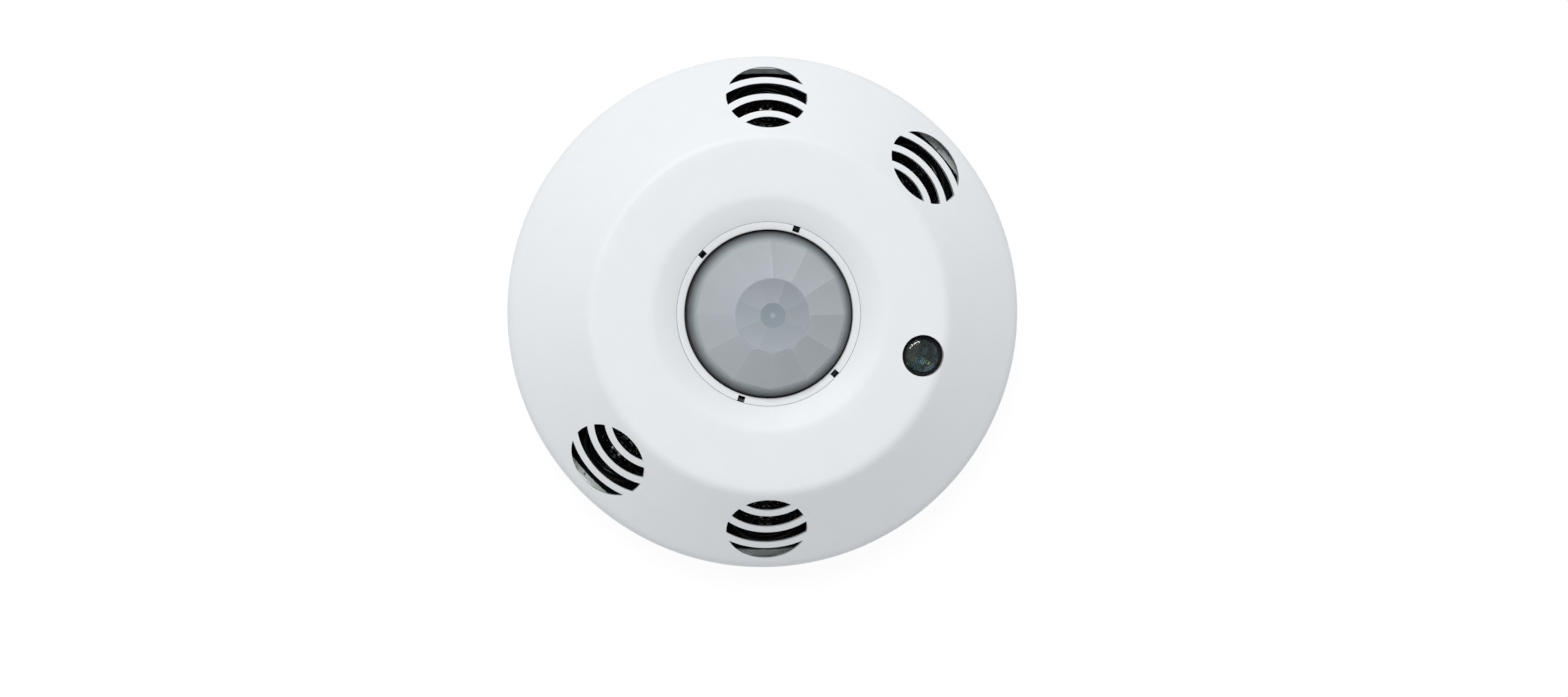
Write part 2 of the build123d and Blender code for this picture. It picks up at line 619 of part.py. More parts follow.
# ------------------------------------------- light pipe, photocell, indicators
with BuildPart() as light_pipe:
    with BuildSketch(spot(WINDOW_CIRCLE, WINDOW_ANGLE, PIPE_BOTTOM)):
        Circle(PIPE_RADIUS)
    extrude(amount=FACE_HEIGHT - PIPE_TOP_BELOW_FACE - PIPE_BOTTOM)
save(light_pipe, "light_pipe")

with BuildPart() as light_pipe_sleeve:
    with BuildSketch(spot(WINDOW_CIRCLE, WINDOW_ANGLE, BOARD_TOP)):
        Circle(PIPE_RADIUS + PIPE_FIT + PIPE_SLEEVE_WALL)
        Circle(PIPE_RADIUS + PIPE_FIT, mode=Mode.SUBTRACT)
    extrude(amount=PIPE_SLEEVE_TOP - BOARD_TOP)
save(light_pipe_sleeve, "light_pipe_sleeve")

with BuildPart() as photocell:
    with BuildSketch(spot(WINDOW_CIRCLE, WINDOW_ANGLE, BOARD_TOP)):
        with Locations((-PHOTOCELL_OFFSET, 0)):
            RectangleRounded(PHOTOCELL_WIDTH, PHOTOCELL_LENGTH, SMALL_ROUND)
    extrude(amount=PHOTOCELL_HEIGHT)
save(photocell, "photocell")

with BuildPart() as indicator_leds:
    with BuildSketch(spot(WINDOW_CIRCLE, WINDOW_ANGLE, BOARD_TOP)):
        with Locations((LED_OFFSET, -LED_SPACING / 2), (LED_OFFSET, LED_SPACING / 2)):
            Rectangle(LED_WIDTH, LED_LENGTH)
    extrude(amount=LED_HEIGHT)
save(indicator_leds, "indicator_leds")

# ------------------------------------------------------------ trim potentiometers
for number, angle in enumerate(TRIM_ANGLES, start=1):
    with BuildPart() as trim_body:
        with BuildSketch(spot(PARTS_CIRCLE, angle, BOARD_TOP)) as outline:
            Rectangle(TRIM_BODY, TRIM_BODY)
            chamfer(outline.vertices(), TRIM_CORNER)
        extrude(amount=TRIM_HEIGHT)
        with BuildSketch(spot(PARTS_CIRCLE, angle, BOARD_TOP + TRIM_HEIGHT - SPINDLE_LENGTH)):
            Circle(SPINDLE_RADIUS + SPINDLE_GAP)
        extrude(amount=SPINDLE_LENGTH, mode=Mode.SUBTRACT)
    save(trim_body, f"trim_body_{number}")

    with BuildPart() as trim_knob:
        knob_bottom = BOARD_TOP + TRIM_HEIGHT + LOOSE_GAP
        with BuildSketch(spot(PARTS_CIRCLE, angle, knob_bottom)):
            Circle(KNOB_RADIUS)
        extrude(amount=KNOB_HEIGHT)
        chamfer(trim_knob.faces().sort_by(Axis.Z)[-1].edges(), SMALL_ROUND)
        with BuildSketch(spot(PARTS_CIRCLE, angle, knob_bottom - SPINDLE_LENGTH)):
            Circle(SPINDLE_RADIUS)
        extrude(amount=SPINDLE_LENGTH)
        with BuildSketch(spot(PARTS_CIRCLE, angle, knob_bottom + KNOB_HEIGHT - KNOB_SLOT_DEPTH)):
            Rectangle(2 * (KNOB_RADIUS + CUT_MARGIN), KNOB_SLOT_WIDTH)
        extrude(amount=KNOB_SLOT_DEPTH, mode=Mode.SUBTRACT)
    save(trim_knob, f"trim_knob_{number}")

# ------------------------------------------------------------------ DIP switches
for bank, angle in zip("ab", DIP_ANGLES):
    ways = [(way - (DIP_WAYS - 1) / 2) * DIP_PITCH for way in range(DIP_WAYS)]
    with BuildPart() as dip_switch:
        with BuildSketch(spot(PARTS_CIRCLE, angle, BOARD_TOP)):
            Rectangle(DIP_WIDTH, DIP_LENGTH)
        extrude(amount=DIP_HEIGHT)
        with BuildSketch(spot(PARTS_CIRCLE, angle, DIP_TOP - DIP_SLOT_DEPTH)):
            with Locations([(0, way) for way in ways]):
                Rectangle(DIP_SLOT_LENGTH, DIP_SLOT_WIDTH)
        extrude(amount=DIP_SLOT_DEPTH, mode=Mode.SUBTRACT)
    save(dip_switch, f"dip_switch_{bank}")

    for number, way in enumerate(ways, start=1):
        with BuildPart() as dip_slider:
            with BuildSketch(spot(PARTS_CIRCLE, angle, DIP_TOP - DIP_SLOT_DEPTH + SLIDER_SIDE_GAP)):
                with Locations((-SLIDER_TRAVEL / 2, way)):
                    Rectangle(SLIDER_LENGTH, DIP_SLOT_WIDTH - 2 * SLIDER_SIDE_GAP)
            extrude(amount=DIP_SLOT_DEPTH - SLIDER_SIDE_GAP + SLIDER_ABOVE)
        save(dip_slider, f"dip_slider_{bank}{number}")

# --------------------------------------------------------------- terminal block
# It hangs under the board, inside the hub, where the wires come in.
ways = [(way - (TERMINAL_WAYS - 1) / 2) * TERMINAL_PITCH for way in range(TERMINAL_WAYS)]
terminal_bottom = BOARD_BOTTOM - TERMINAL_HEIGHT
with BuildPart() as terminal_block:
    with BuildSketch(Plane.XY.offset(terminal_bottom)):
        Rectangle(TERMINAL_WAYS * TERMINAL_PITCH, TERMINAL_WIDTH)
    extrude(amount=TERMINAL_HEIGHT)
    with BuildSketch(Plane.XZ.offset(TERMINAL_WIDTH / 2 - WIRE_HOLE_DEPTH)):
        with Locations([(way, BOARD_BOTTOM - WIRE_HOLE_HEIGHT) for way in ways]):
            Rectangle(WIRE_HOLE_WIDTH, WIRE_HOLE_HEIGHT)
    extrude(amount=WIRE_HOLE_DEPTH, mode=Mode.SUBTRACT)
    with BuildSketch(Plane.XY.offset(terminal_bottom)):
        with Locations([(way, 0) for way in ways]):
            Circle(TERMINAL_WELL_RADIUS)
    extrude(amount=TERMINAL_WELL_DEPTH, mode=Mode.SUBTRACT)
save(terminal_block, "terminal_block")

with BuildPart() as terminal_screws:
    screw_seat = terminal_bottom + TERMINAL_WELL_DEPTH
    with BuildSketch(Plane.XY.offset(screw_seat - TERMINAL_SCREW_HEIGHT)):
        with Locations([(way, 0) for way in ways]):
            Circle(TERMINAL_SCREW_RADIUS)
    extrude(amount=TERMINAL_SCREW_HEIGHT)
    with BuildSketch(Plane.XY.offset(screw_seat - TERMINAL_SCREW_HEIGHT)):
        with Locations([(way, 0) for way in ways]):
            Rectangle(2 * (TERMINAL_SCREW_RADIUS + CUT_MARGIN), DRIVE_WIDTH)
    extrude(amount=DRIVE_DEPTH, mode=Mode.SUBTRACT)
save(terminal_screws, "terminal_screws")

# ---------------------------------------------------------- other parts on board
with BuildPart() as relay:
    with BuildSketch(spot(RELAY_CIRCLE, RELAY_ANGLE, BOARD_TOP)):
        RectangleRounded(RELAY_SIZE[0], RELAY_SIZE[1], SMALL_ROUND)
    extrude(amount=RELAY_SIZE[2])
save(relay, "relay")

with BuildPart() as microcontroller:
    with BuildSketch(spot(CHIP_CIRCLE, CHIP_ANGLE, BOARD_TOP)):
        Rectangle(CHIP_SIZE, CHIP_SIZE)
    extrude(amount=CHIP_HEIGHT)
save(microcontroller, "microcontroller")

with BuildPart() as amplifier_chips:
    for angle in TRANSDUCER_ANGLES:
        with BuildSketch(spot(AMPLIFIER_CIRCLE, angle, BOARD_TOP)):
            Rectangle(AMPLIFIER_SIZE[0], AMPLIFIER_SIZE[1])
        extrude(amount=AMPLIFIER_SIZE[2])
save(amplifier_chips, "amplifier_chips")

with BuildPart() as crystal:
    with BuildSketch(spot(CRYSTAL_CIRCLE, CRYSTAL_ANGLE, BOARD_TOP)):
        SlotOverall(CRYSTAL_LENGTH, CRYSTAL_WIDTH)
    extrude(amount=CRYSTAL_HEIGHT)
save(crystal, "crystal")

with BuildPart() as regulator:
    with BuildSketch(spot(REGULATOR_CIRCLE, REGULATOR_ANGLE, BOARD_TOP)):
        Rectangle(REGULATOR_SIZE[0], REGULATOR_SIZE[1])
    extrude(amount=REGULATOR_SIZE[2])
save(regulator, "regulator")

with BuildPart() as capacitors:
    for radius, angle in CAPACITOR_PLACES:
        with BuildSketch(spot(radius, angle, BOARD_TOP)):
            Circle(CAPACITOR_RADIUS)
        extrude(amount=CAPACITOR_HEIGHT)
save(capacitors, "capacitors")
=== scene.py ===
# %% [markdown]
# # A ceiling motion sensor
# The sensor is a shallow round box: a white cover with four barred openings, a grey domed
# lens in the middle and a small window at one side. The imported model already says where
# every piece goes, so this lesson builds the finer pieces around it and gives each finish.

from math import acos, atan2, ceil, cos, pi, radians, sin, sqrt, tan

import bmesh
import bpy
from mathutils import Matrix, Vector


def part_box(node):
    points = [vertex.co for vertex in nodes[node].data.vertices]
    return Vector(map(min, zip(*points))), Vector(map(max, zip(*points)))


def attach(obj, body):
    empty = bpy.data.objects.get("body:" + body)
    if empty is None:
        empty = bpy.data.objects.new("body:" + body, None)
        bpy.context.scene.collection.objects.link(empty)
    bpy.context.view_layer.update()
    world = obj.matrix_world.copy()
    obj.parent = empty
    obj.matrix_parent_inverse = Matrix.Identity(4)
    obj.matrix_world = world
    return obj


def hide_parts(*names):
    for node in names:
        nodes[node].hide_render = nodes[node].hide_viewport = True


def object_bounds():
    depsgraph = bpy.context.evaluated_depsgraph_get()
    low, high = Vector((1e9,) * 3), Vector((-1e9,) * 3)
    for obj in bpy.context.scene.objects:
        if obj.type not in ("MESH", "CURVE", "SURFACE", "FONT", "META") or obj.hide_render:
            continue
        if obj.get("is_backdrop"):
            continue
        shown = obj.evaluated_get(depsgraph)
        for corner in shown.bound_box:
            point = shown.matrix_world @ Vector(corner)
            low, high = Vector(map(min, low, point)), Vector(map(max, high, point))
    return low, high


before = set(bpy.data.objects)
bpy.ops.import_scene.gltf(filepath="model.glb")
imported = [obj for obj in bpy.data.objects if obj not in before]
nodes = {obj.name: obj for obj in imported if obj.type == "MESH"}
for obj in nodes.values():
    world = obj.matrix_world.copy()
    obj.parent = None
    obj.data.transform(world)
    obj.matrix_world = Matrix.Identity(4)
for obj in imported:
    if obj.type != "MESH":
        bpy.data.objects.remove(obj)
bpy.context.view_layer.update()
MM = 0.001

# %% [markdown]
# The few sizes that the finer pieces share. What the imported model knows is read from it,
# so the cover, the ring and the lens meet the parts that stay. The rest are the angles and
# wall that the cover was drawn with.

# %% Shared sizes
COVER_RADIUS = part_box("front_cover")[1].x
FACE_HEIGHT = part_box("front_cover")[1].z
SKIRT_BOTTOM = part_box("front_cover")[0].z
SHOULDER_HEIGHT = 13.3 * MM
SLOPE = radians(40)
WALL = 2.2 * MM
SLOPE_RUN = (FACE_HEIGHT - SHOULDER_HEIGHT) / tan(SLOPE)
FACE_RADIUS = COVER_RADIUS - SLOPE_RUN
RING_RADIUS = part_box("lens_ring")[1].x
LIP_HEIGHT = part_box("lens_ring")[1].z
SEAM = 0.06 * MM  # the hairline between the ring and the cover
OPENING_RADIUS = RING_RADIUS + SEAM
DISH_RADIUS = 25.6 * MM
DISH_SLOPE = radians(17)
GRILLE_OFFSET = 8.35 * MM
GRILLE_RADIUS = FACE_RADIUS + GRILLE_OFFSET
GRILLE_HEIGHT = FACE_HEIGHT - GRILLE_OFFSET * tan(SLOPE)
OPENING_SIZE = 9.0 * MM  # radius of a barred opening
TRANSDUCER_ANGLES = [radians(angle) for angle in (42.5, 90.0, 222.5, 270.0)]
print(f"flat face {FACE_RADIUS / MM:.1f} mm, openings on a circle of {GRILLE_RADIUS / MM:.1f} mm")

# %% [markdown]
# ## Working in edit mode from code
# Everything is deselected before each step, because a loaded model arrives selected. An
# outline is drawn as by hand, by extruding one vertex from point to point. The spin tool
# then turns it into a round piece, or it is filled and extruded into a slab.


# %% Drawing and spinning
TURN_STEPS = 288
MERGE = 0.001 * MM  # vertices nearer than this are one


def start_clean():
    """Leave edit mode and deselect every object."""
    if bpy.context.object and bpy.context.object.mode != "OBJECT":
        bpy.ops.object.mode_set(mode="OBJECT")
    bpy.ops.object.select_all(action="DESELECT")


def activate(piece):
    """Make one piece the only selected and the active one."""
    start_clean()
    piece.select_set(True)
    bpy.context.view_layer.objects.active = piece


def named(name):
    """Name the new object and put its place into its mesh."""
    piece = bpy.context.object
    piece.name = name
    piece.data.name = name
    bpy.ops.object.transform_apply(location=True, rotation=True, scale=True)
    return piece


def draw(name, points):
    """A chain of edges through the points, left in edit mode."""
    start_clean()
    bpy.ops.mesh.primitive_plane_add(size=MM, location=points[0])
    piece = named(name)
    bpy.ops.object.mode_set(mode="EDIT")
    bpy.ops.mesh.select_all(action="SELECT")
    bpy.ops.mesh.merge(type="CENTER")
    for before, after in zip(points, points[1:]):
        step = Vector(after) - Vector(before)
        bpy.ops.mesh.extrude_region_move(TRANSFORM_OT_translate={"value": step})
    return piece


def close_up(smooth=30):
    """Merge doubled vertices, point faces outwards and shade the gentle edges smooth."""
    bpy.ops.mesh.select_all(action="SELECT")
    bpy.ops.mesh.remove_doubles(threshold=MERGE)
    bpy.ops.mesh.normals_make_consistent(inside=False)
    bpy.ops.object.mode_set(mode="OBJECT")
    bpy.ops.object.shade_smooth_by_angle(angle=radians(smooth))


def lathe(name, outline, steps=TURN_STEPS, smooth=30):
    """Spin an outline of (radius, height) points round the Z axis."""
    piece = draw(name, [(radius, 0, height) for radius, height in outline])
    bpy.ops.mesh.select_all(action="SELECT")
    bpy.ops.mesh.spin(steps=steps, angle=2 * pi, center=(0, 0, 0), axis=(0, 0, 1))
    close_up(smooth)
    return piece


def slab(name, outline, push):
    """Fill a closed outline of points and extrude it along a vector."""
    piece = draw(name, [*outline, outline[0]])
    bpy.ops.mesh.select_all(action="SELECT")
    bpy.ops.mesh.remove_doubles(threshold=MERGE)
    bpy.ops.mesh.edge_face_add()
    bpy.ops.mesh.extrude_region_move(TRANSFORM_OT_translate={"value": push})
    close_up()
    return piece


# %% [markdown]
# A moulded part has no sharp corners, so every corner of an outline carries a radius and
# is drawn as a true arc. Long straight stretches get points as well, which keeps the faces
# of a spun piece well shaped.


# %% Rounding the corners of an outline
def rounded(corners, closed=True, bend=radians(10), run=2.5 * MM):
    """Points along an outline of (x, y, radius) corners, its corners rounded with arcs.
    Arcs are stepped by an angle and straight stretches by a length."""
    path = []
    count = len(corners)
    for i, (x, y, radius) in enumerate(corners):
        here = Vector((x, y))
        if radius == 0 or (not closed and i in (0, count - 1)):
            path.append(here)
            continue
        to_last = (Vector(corners[i - 1][:2]) - here).normalized()
        to_next = (Vector(corners[(i + 1) % count][:2]) - here).normalized()
        half = acos(max(-1, min(1, to_last.dot(to_next)))) / 2
        centre = here + (to_last + to_next).normalized() * radius / sin(half)
        begin = here + to_last * radius / tan(half) - centre
        turn = begin.angle_signed(here + to_next * radius / tan(half) - centre)
        steps = max(2, ceil(abs(turn) / bend))
        first = atan2(begin.y, begin.x)
        for step in range(steps + 1):
            angle = first - turn * step / steps
            path.append(centre + radius * Vector((cos(angle), sin(angle))))
    if closed:
        path.append(path[0])
    points = [path[0]]
    for before, after in zip(path, path[1:]):
        pieces = max(1, round((after - before).length / run))
        points += [before.lerp(after, k / pieces) for k in range(1, pieces + 1)]
    return [(point.x, point.y) for point in points]


# %% [markdown]
# Openings are cut and ribs welded on with the boolean tool, applied at once. What repeats
# is modelled once and copied, each copy with its own mesh, and the first one is discarded.


# %% Cutting, joining and copying
def apply_modifier(piece, kind, **settings):
    """Add a modifier, set it and apply it."""
    activate(piece)
    modifier = piece.modifiers.new(kind.title(), kind)
    for key, value in settings.items():
        setattr(modifier, key, value)
    bpy.ops.object.modifier_apply(modifier=modifier.name)


def discard(*pieces):
    """Delete pieces that were only cutters or masters."""
    for piece in pieces:
        bpy.data.objects.remove(piece)


def combine(piece, other, operation):
    """Cut another piece out of a piece, or weld it on, and discard it."""
    apply_modifier(piece, "BOOLEAN", operation=operation, solver="EXACT", object=other)
    discard(other)


def join(name, pieces):
    """One object from several."""
    activate(pieces[0])
    for piece in pieces[1:]:
        piece.select_set(True)
    bpy.ops.object.join()
    return named(name)


def block(name, size, place, turn):
    """A plain block used as a start or as a cutter, turned about Z."""
    start_clean()
    bpy.ops.mesh.primitive_cube_add(size=1, location=place, rotation=(0, 0, turn), scale=size)
    return named(name)


def duplicate(piece, name, move):
    """A copy with its own mesh, whose points are moved by a matrix."""
    copy = piece.copy()
    copy.data = piece.data.copy()
    copy.name = name
    copy.data.name = name
    bpy.context.scene.collection.objects.link(copy)
    copy.data.transform(move)
    return copy


def around(radius, angle, height=0.0):
    """A point at a polar place."""
    return Vector((radius * cos(angle), radius * sin(angle), height))


# %% [markdown]
# ## Finishes
# Each finish is a few nodes on object coordinates: a slow noise shifts the colour a little,
# a fine noise gives the surface its grain, and the same grain varies the gloss. Moulded
# plastic, rubber, bare metal and paint then differ only in their numbers.


# %% One recipe for moulded and painted surfaces
def finish(name, colour, roughness, shade=0.94, patch=6.0, grain=0.35, bump=0.05, **sockets):
    """A material whose colour drifts between colour and its shaded version."""
    material = bpy.data.materials.new(name)
    material.use_nodes = True
    tree = material.node_tree
    shader = tree.nodes["Principled BSDF"]
    place = tree.nodes.new("ShaderNodeTexCoord").outputs["Object"]

    slow = tree.nodes.new("ShaderNodeTexNoise")
    slow.inputs["Scale"].default_value = 1 / (patch * MM)
    slow.inputs["Detail"].default_value = 3
    tree.links.new(place, slow.inputs["Vector"])
    ramp = tree.nodes.new("ShaderNodeValToRGB")
    ramp.color_ramp.elements[0].position = 0.3
    ramp.color_ramp.elements[1].position = 0.7
    ramp.color_ramp.elements[0].color = [channel * shade for channel in colour] + [1]
    ramp.color_ramp.elements[1].color = [*colour, 1]
    tree.links.new(slow.outputs["Fac"], ramp.inputs["Fac"])
    tree.links.new(ramp.outputs["Color"], shader.inputs["Base Color"])

    fine = tree.nodes.new("ShaderNodeTexNoise")
    fine.inputs["Scale"].default_value = 1 / (grain * MM)
    fine.inputs["Detail"].default_value = 2
    tree.links.new(place, fine.inputs["Vector"])
    height = tree.nodes.new("ShaderNodeBump")
    height.inputs["Strength"].default_value = 0.6
    height.inputs["Distance"].default_value = bump * MM
    tree.links.new(fine.outputs["Fac"], height.inputs["Height"])
    tree.links.new(height.outputs["Normal"], shader.inputs["Normal"])

    gloss = tree.nodes.new("ShaderNodeMapRange")
    gloss.inputs["To Min"].default_value = roughness * 0.85
    gloss.inputs["To Max"].default_value = roughness * 1.15
    tree.links.new(fine.outputs["Fac"], gloss.inputs["Value"])
    tree.links.new(gloss.outputs["Result"], shader.inputs["Roughness"])
    for socket, value in sockets.items():
        shader.inputs[socket].default_value = value
    return material


SPECULAR = "Specular IOR Level"  # the socket that is turned down for dull stuff
cover_white = finish("cover_plastic", (0.80, 0.83, 0.855), 0.5, shade=0.985, bump=0.02)
base_white = finish("base_plastic", (0.74, 0.74, 0.71), 0.5, shade=0.97)
housing_white = finish("housing_plastic", (0.80, 0.88, 0.85), 0.5, shade=0.95)
black_plastic = finish(
    "black_plastic", (0.008, 0.009, 0.010), 0.5, shade=0.7, **{SPECULAR: 0.12}
)
for material in (cover_white, base_white, housing_white, black_plastic):
    print(f"{material.name}: {len(material.node_tree.nodes)} nodes")

# %% [markdown]
# ## Front cover
# A moulded ABS shell, 2.2 mm thick: a straight skirt, a sloping side, a flat face and a
# shallow dish down to the lens. A disc could be pushed into shape, but the real part is
# round, so its outline is drawn once, with every corner rounded, and spun.

# %% Spin the cover's shell
inner_radius = COVER_RADIUS - WALL
inner_face = FACE_HEIGHT - WALL
inner_shoulder = FACE_HEIGHT - (inner_radius - FACE_RADIUS) * tan(SLOPE) - WALL / cos(SLOPE)
SHOULDER_ROUND = 5.0 * MM
FACE_ROUND = 3.5 * MM
DISH_ROUND = 6.0 * MM
EDGE_ROUND = 0.4 * MM
LIP_ROUND = 0.08 * MM  # tight, so that the seam round the ring is only a hairline
front_cover = lathe(
    "cover_shell",
    rounded(
        [
            (COVER_RADIUS, SKIRT_BOTTOM, EDGE_ROUND),
            (COVER_RADIUS, SHOULDER_HEIGHT, SHOULDER_ROUND),
            (FACE_RADIUS, FACE_HEIGHT, FACE_ROUND),
            (DISH_RADIUS, FACE_HEIGHT, DISH_ROUND),
            (OPENING_RADIUS, LIP_HEIGHT, LIP_ROUND),
            (OPENING_RADIUS, LIP_HEIGHT - WALL / cos(DISH_SLOPE), EDGE_ROUND),
            (DISH_RADIUS + WALL * tan(DISH_SLOPE / 2), inner_face, DISH_ROUND - WALL),
            (FACE_RADIUS - WALL * tan(SLOPE / 2), inner_face, FACE_ROUND - WALL),
            (inner_radius, inner_shoulder, SHOULDER_ROUND - WALL),
            (inner_radius, SKIRT_BOTTOM, EDGE_ROUND),
        ]
    ),
)
print(f"cover shell: {len(front_cover.data.polygons)} faces")

# %% [markdown]
# The barred openings are cut as four gaps each, so the three curved bars are the plastic
# that is left, as in the mould. Each gap is an outline between two arcs and the round edge
# of the opening.

# %% Outlines of the gaps
BAR_WIDTH = 1.75 * MM
BARS = ((5.0 * MM, 15.1 * MM), (0.1 * MM, 12.0 * MM), (-4.9 * MM, 9.2 * MM))


def meeting_angle(place, radius):
    """Angle on the round edge at which an arc that crosses the slope line at place ends."""
    centre = place - radius
    return acos((OPENING_SIZE**2 - radius**2 + centre**2) / (2 * centre) / OPENING_SIZE)


def bar_edge(place, radius, steps=24):
    """Points along a bar's edge, from its lower end round to its upper end."""
    end = meeting_angle(place, radius)
    centre = place - radius
    reach = atan2(OPENING_SIZE * sin(end), OPENING_SIZE * cos(end) - centre)
    angles = [-reach + 2 * reach * step / steps for step in range(steps + 1)]
    return [(centre + radius * cos(angle), radius * sin(angle)) for angle in angles], end


def round_edge(start, end, steps=12):
    """Points on the opening's round edge between two angles, without its ends."""
    angles = [start + (end - start) * step / steps for step in range(1, steps)]
    return [(OPENING_SIZE * cos(angle), OPENING_SIZE * sin(angle)) for angle in angles]


def gap_outline(outward, inward):
    """The gap between the bar further down the slope and the one further up it."""
    points = []
    far_end, near_end = 0.0, pi
    if outward:
        place, radius = outward
        edge, far_end = bar_edge(place - BAR_WIDTH / 2, radius - BAR_WIDTH / 2)
        points += edge
    if inward:
        place, radius = inward
        edge, near_end = bar_edge(place + BAR_WIDTH / 2, radius + BAR_WIDTH / 2)
        points += round_edge(far_end, near_end)
        points += reversed(edge)
        points += round_edge(-near_end, -far_end)
    else:
        points += round_edge(far_end, 2 * pi - far_end, steps=36)
    return points


print(f"{len(BARS)} bars of {BAR_WIDTH / MM:.2f} mm across each opening")

# %% [markdown]
# Each gap is laid on the slope but extruded straight down, the way a mould opens, so from
# the front no side wall shows and each gap reads as a crisp black shape. The window is a
# plain round hole near the edge of the flat face. All of it is cut in one step.

# %% Cut the gaps and the window
CUT_BELOW = 2 * WALL
CUT_ABOVE = WALL
WINDOW_RADIUS = 4.6 * MM
WINDOW_ANGLE = radians(-15.2)
WINDOW_CIRCLE = FACE_RADIUS - 4.3 * MM


def mould_cut_matrix(angle):
    """From a flat outline to the slope, sheared so that its upright sides stay upright."""
    seat = Matrix.Translation((GRILLE_RADIUS, 0, GRILLE_HEIGHT))
    slant = Matrix.Identity(4)
    slant[0][0], slant[2][0] = cos(SLOPE), -sin(SLOPE)
    return Matrix.Rotation(angle, 4, "Z") @ seat @ slant


gaps = []
for number, (outward, inward) in enumerate(zip([None, *BARS], [*BARS, None])):
    outline = [(x, y, -CUT_BELOW) for x, y in gap_outline(outward, inward)]
    gaps.append(slab(f"gap_{number}", outline, (0, 0, CUT_BELOW + CUT_ABOVE)))
gap_set = join("gap_set", gaps)
cutters = [duplicate(gap_set, "gaps", mould_cut_matrix(angle)) for angle in TRANSDUCER_ANGLES]
discard(gap_set)
start_clean()
window_place = around(WINDOW_CIRCLE, WINDOW_ANGLE, FACE_HEIGHT)
bpy.ops.mesh.primitive_cylinder_add(
    vertices=64, radius=WINDOW_RADIUS, depth=3 * WALL, location=window_place
)
cutters.append(named("window_cutter"))
combine(front_cover, join("cover_cutter", cutters), "DIFFERENCE")
print(f"cover with its openings: {len(front_cover.data.polygons)} faces")

# %% [markdown]
# Four low ribs inside the skirt slide in grooves of the rear housing. They are blocks let
# into the wall, so the boolean tool joins them to the shell.

# %% Add the ribs
RIB_ANGLES = [radians(angle) for angle in (5, 120, 185, 300)]
RIB_SIZE = (1.2 * MM, 7.0 * MM, 9.6 * MM)  # through the wall, along it and up
RIB_MIDDLE = 6.2 * MM
ribs = []
for angle in RIB_ANGLES:
    ribs.append(block("rib", RIB_SIZE, around(inner_radius, angle, RIB_MIDDLE), angle))
combine(front_cover, join("rib_set", ribs), "UNION")
activate(front_cover)
bpy.ops.object.shade_smooth_by_angle(angle=radians(30))
print(f"cover with {len(ribs)} ribs: {len(front_cover.data.polygons)} faces")

# %% [markdown]
# Every piece is finished in the same way: it gets one material and the body that it moves
# with, and the imported nodes it stands for are hidden.


# %% Give the cover its finish
def dress(piece, body, slot, material, *replaced):
    """Finish a piece: one material, its body and the nodes that it stands for. The slot is not
    used.
    """
    piece.data.materials.clear()
    piece.data.materials.append(material)
    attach(piece, body)
    if replaced:
        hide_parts(*replaced)


dress(front_cover, "cover", "cover_plastic", cover_white, "front_cover")
print(f"{front_cover.name} wears {cover_white.name}")

# %% [markdown]
# ## Lens ring
# A plain ring that clamps the lens. Its upper face carries on the slope of the dish, and
# four notches in its edge take a pin spanner. It is spun like the cover, and the notches
# are cut with small blocks.

# %% Spin the ring and cut its notches
LENS_RADIUS = 18.2 * MM
LENS_PLAY = 0.3 * MM
FLANGE_THICKNESS = 1.0 * MM
HOLDER_RADIUS = 19.5 * MM
LAND_SLOPE = radians(6)
ring_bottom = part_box("lens_ring")[0].z
bore = LENS_RADIUS + LENS_PLAY
flange_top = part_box("lens_holder")[1].z + FLANGE_THICKNESS
land_drop = (RING_RADIUS - bore) * tan(LAND_SLOPE)
lens_ring = lathe(
    "ring_round_lens",
    rounded(
        [
            (RING_RADIUS, ring_bottom, 0.2 * MM),
            (RING_RADIUS, LIP_HEIGHT, LIP_ROUND),
            (bore, LIP_HEIGHT - land_drop, 0.3 * MM),
            (bore, flange_top, 0),
            (HOLDER_RADIUS, flange_top, 0),
            (HOLDER_RADIUS, ring_bottom, 0.1 * MM),
        ]
    ),
)
NOTCH_ANGLES = [radians(angle) for angle in (72, 138, 252, 318)]
NOTCH_SIZE = (2.6 * MM, 1.6 * MM, 10 * MM)  # across the edge, along it and up
notches = []
for angle in NOTCH_ANGLES:
    notches.append(block("notch", NOTCH_SIZE, around(RING_RADIUS, angle, LIP_HEIGHT), angle))
combine(lens_ring, join("notch_cutter", notches), "DIFFERENCE")
dress(lens_ring, "lens_ring", "cover_plastic", cover_white, "lens_ring")
print(f"ring: {len(lens_ring.data.polygons)} faces")

# %% [markdown]
# ## Lens
# A thin dome of milky polyethylene, moulded in flat facets: an eight-sided one in the
# middle, eight round it and twelve round those, then a steep round band down to the flange.
# Circles with the right number of sides, joined each to the next, make every facet flat.
# They are listed from the middle outwards and down, and back up on the inside.

# %% List the circles of the lens
LENS_WALL = 0.8 * MM
INNER_SIDES = 8
OUTER_SIDES = 12
FACET_RADII = (2.85 * MM, 7.9 * MM, 8.5 * MM, 16.4 * MM)
BAND_RADIUS = 17.5 * MM
OUTER_STEM = 1.2 * MM  # straight heights above the flange, outside and inside
INNER_STEM = 0.6 * MM
ROUND_STEPS = 96
lens_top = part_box("pir_lens")[1].z
flange_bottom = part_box("pir_lens")[0].z
flange_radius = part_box("pir_lens")[1].x
inner_lens_radius = LENS_RADIUS - LENS_WALL


def dome_height(radius):
    """Height of the dome at a radius."""
    share = min(1.0, radius / LENS_RADIUS)
    return flange_top + (lens_top - flange_top) * sqrt(1 - share**2)


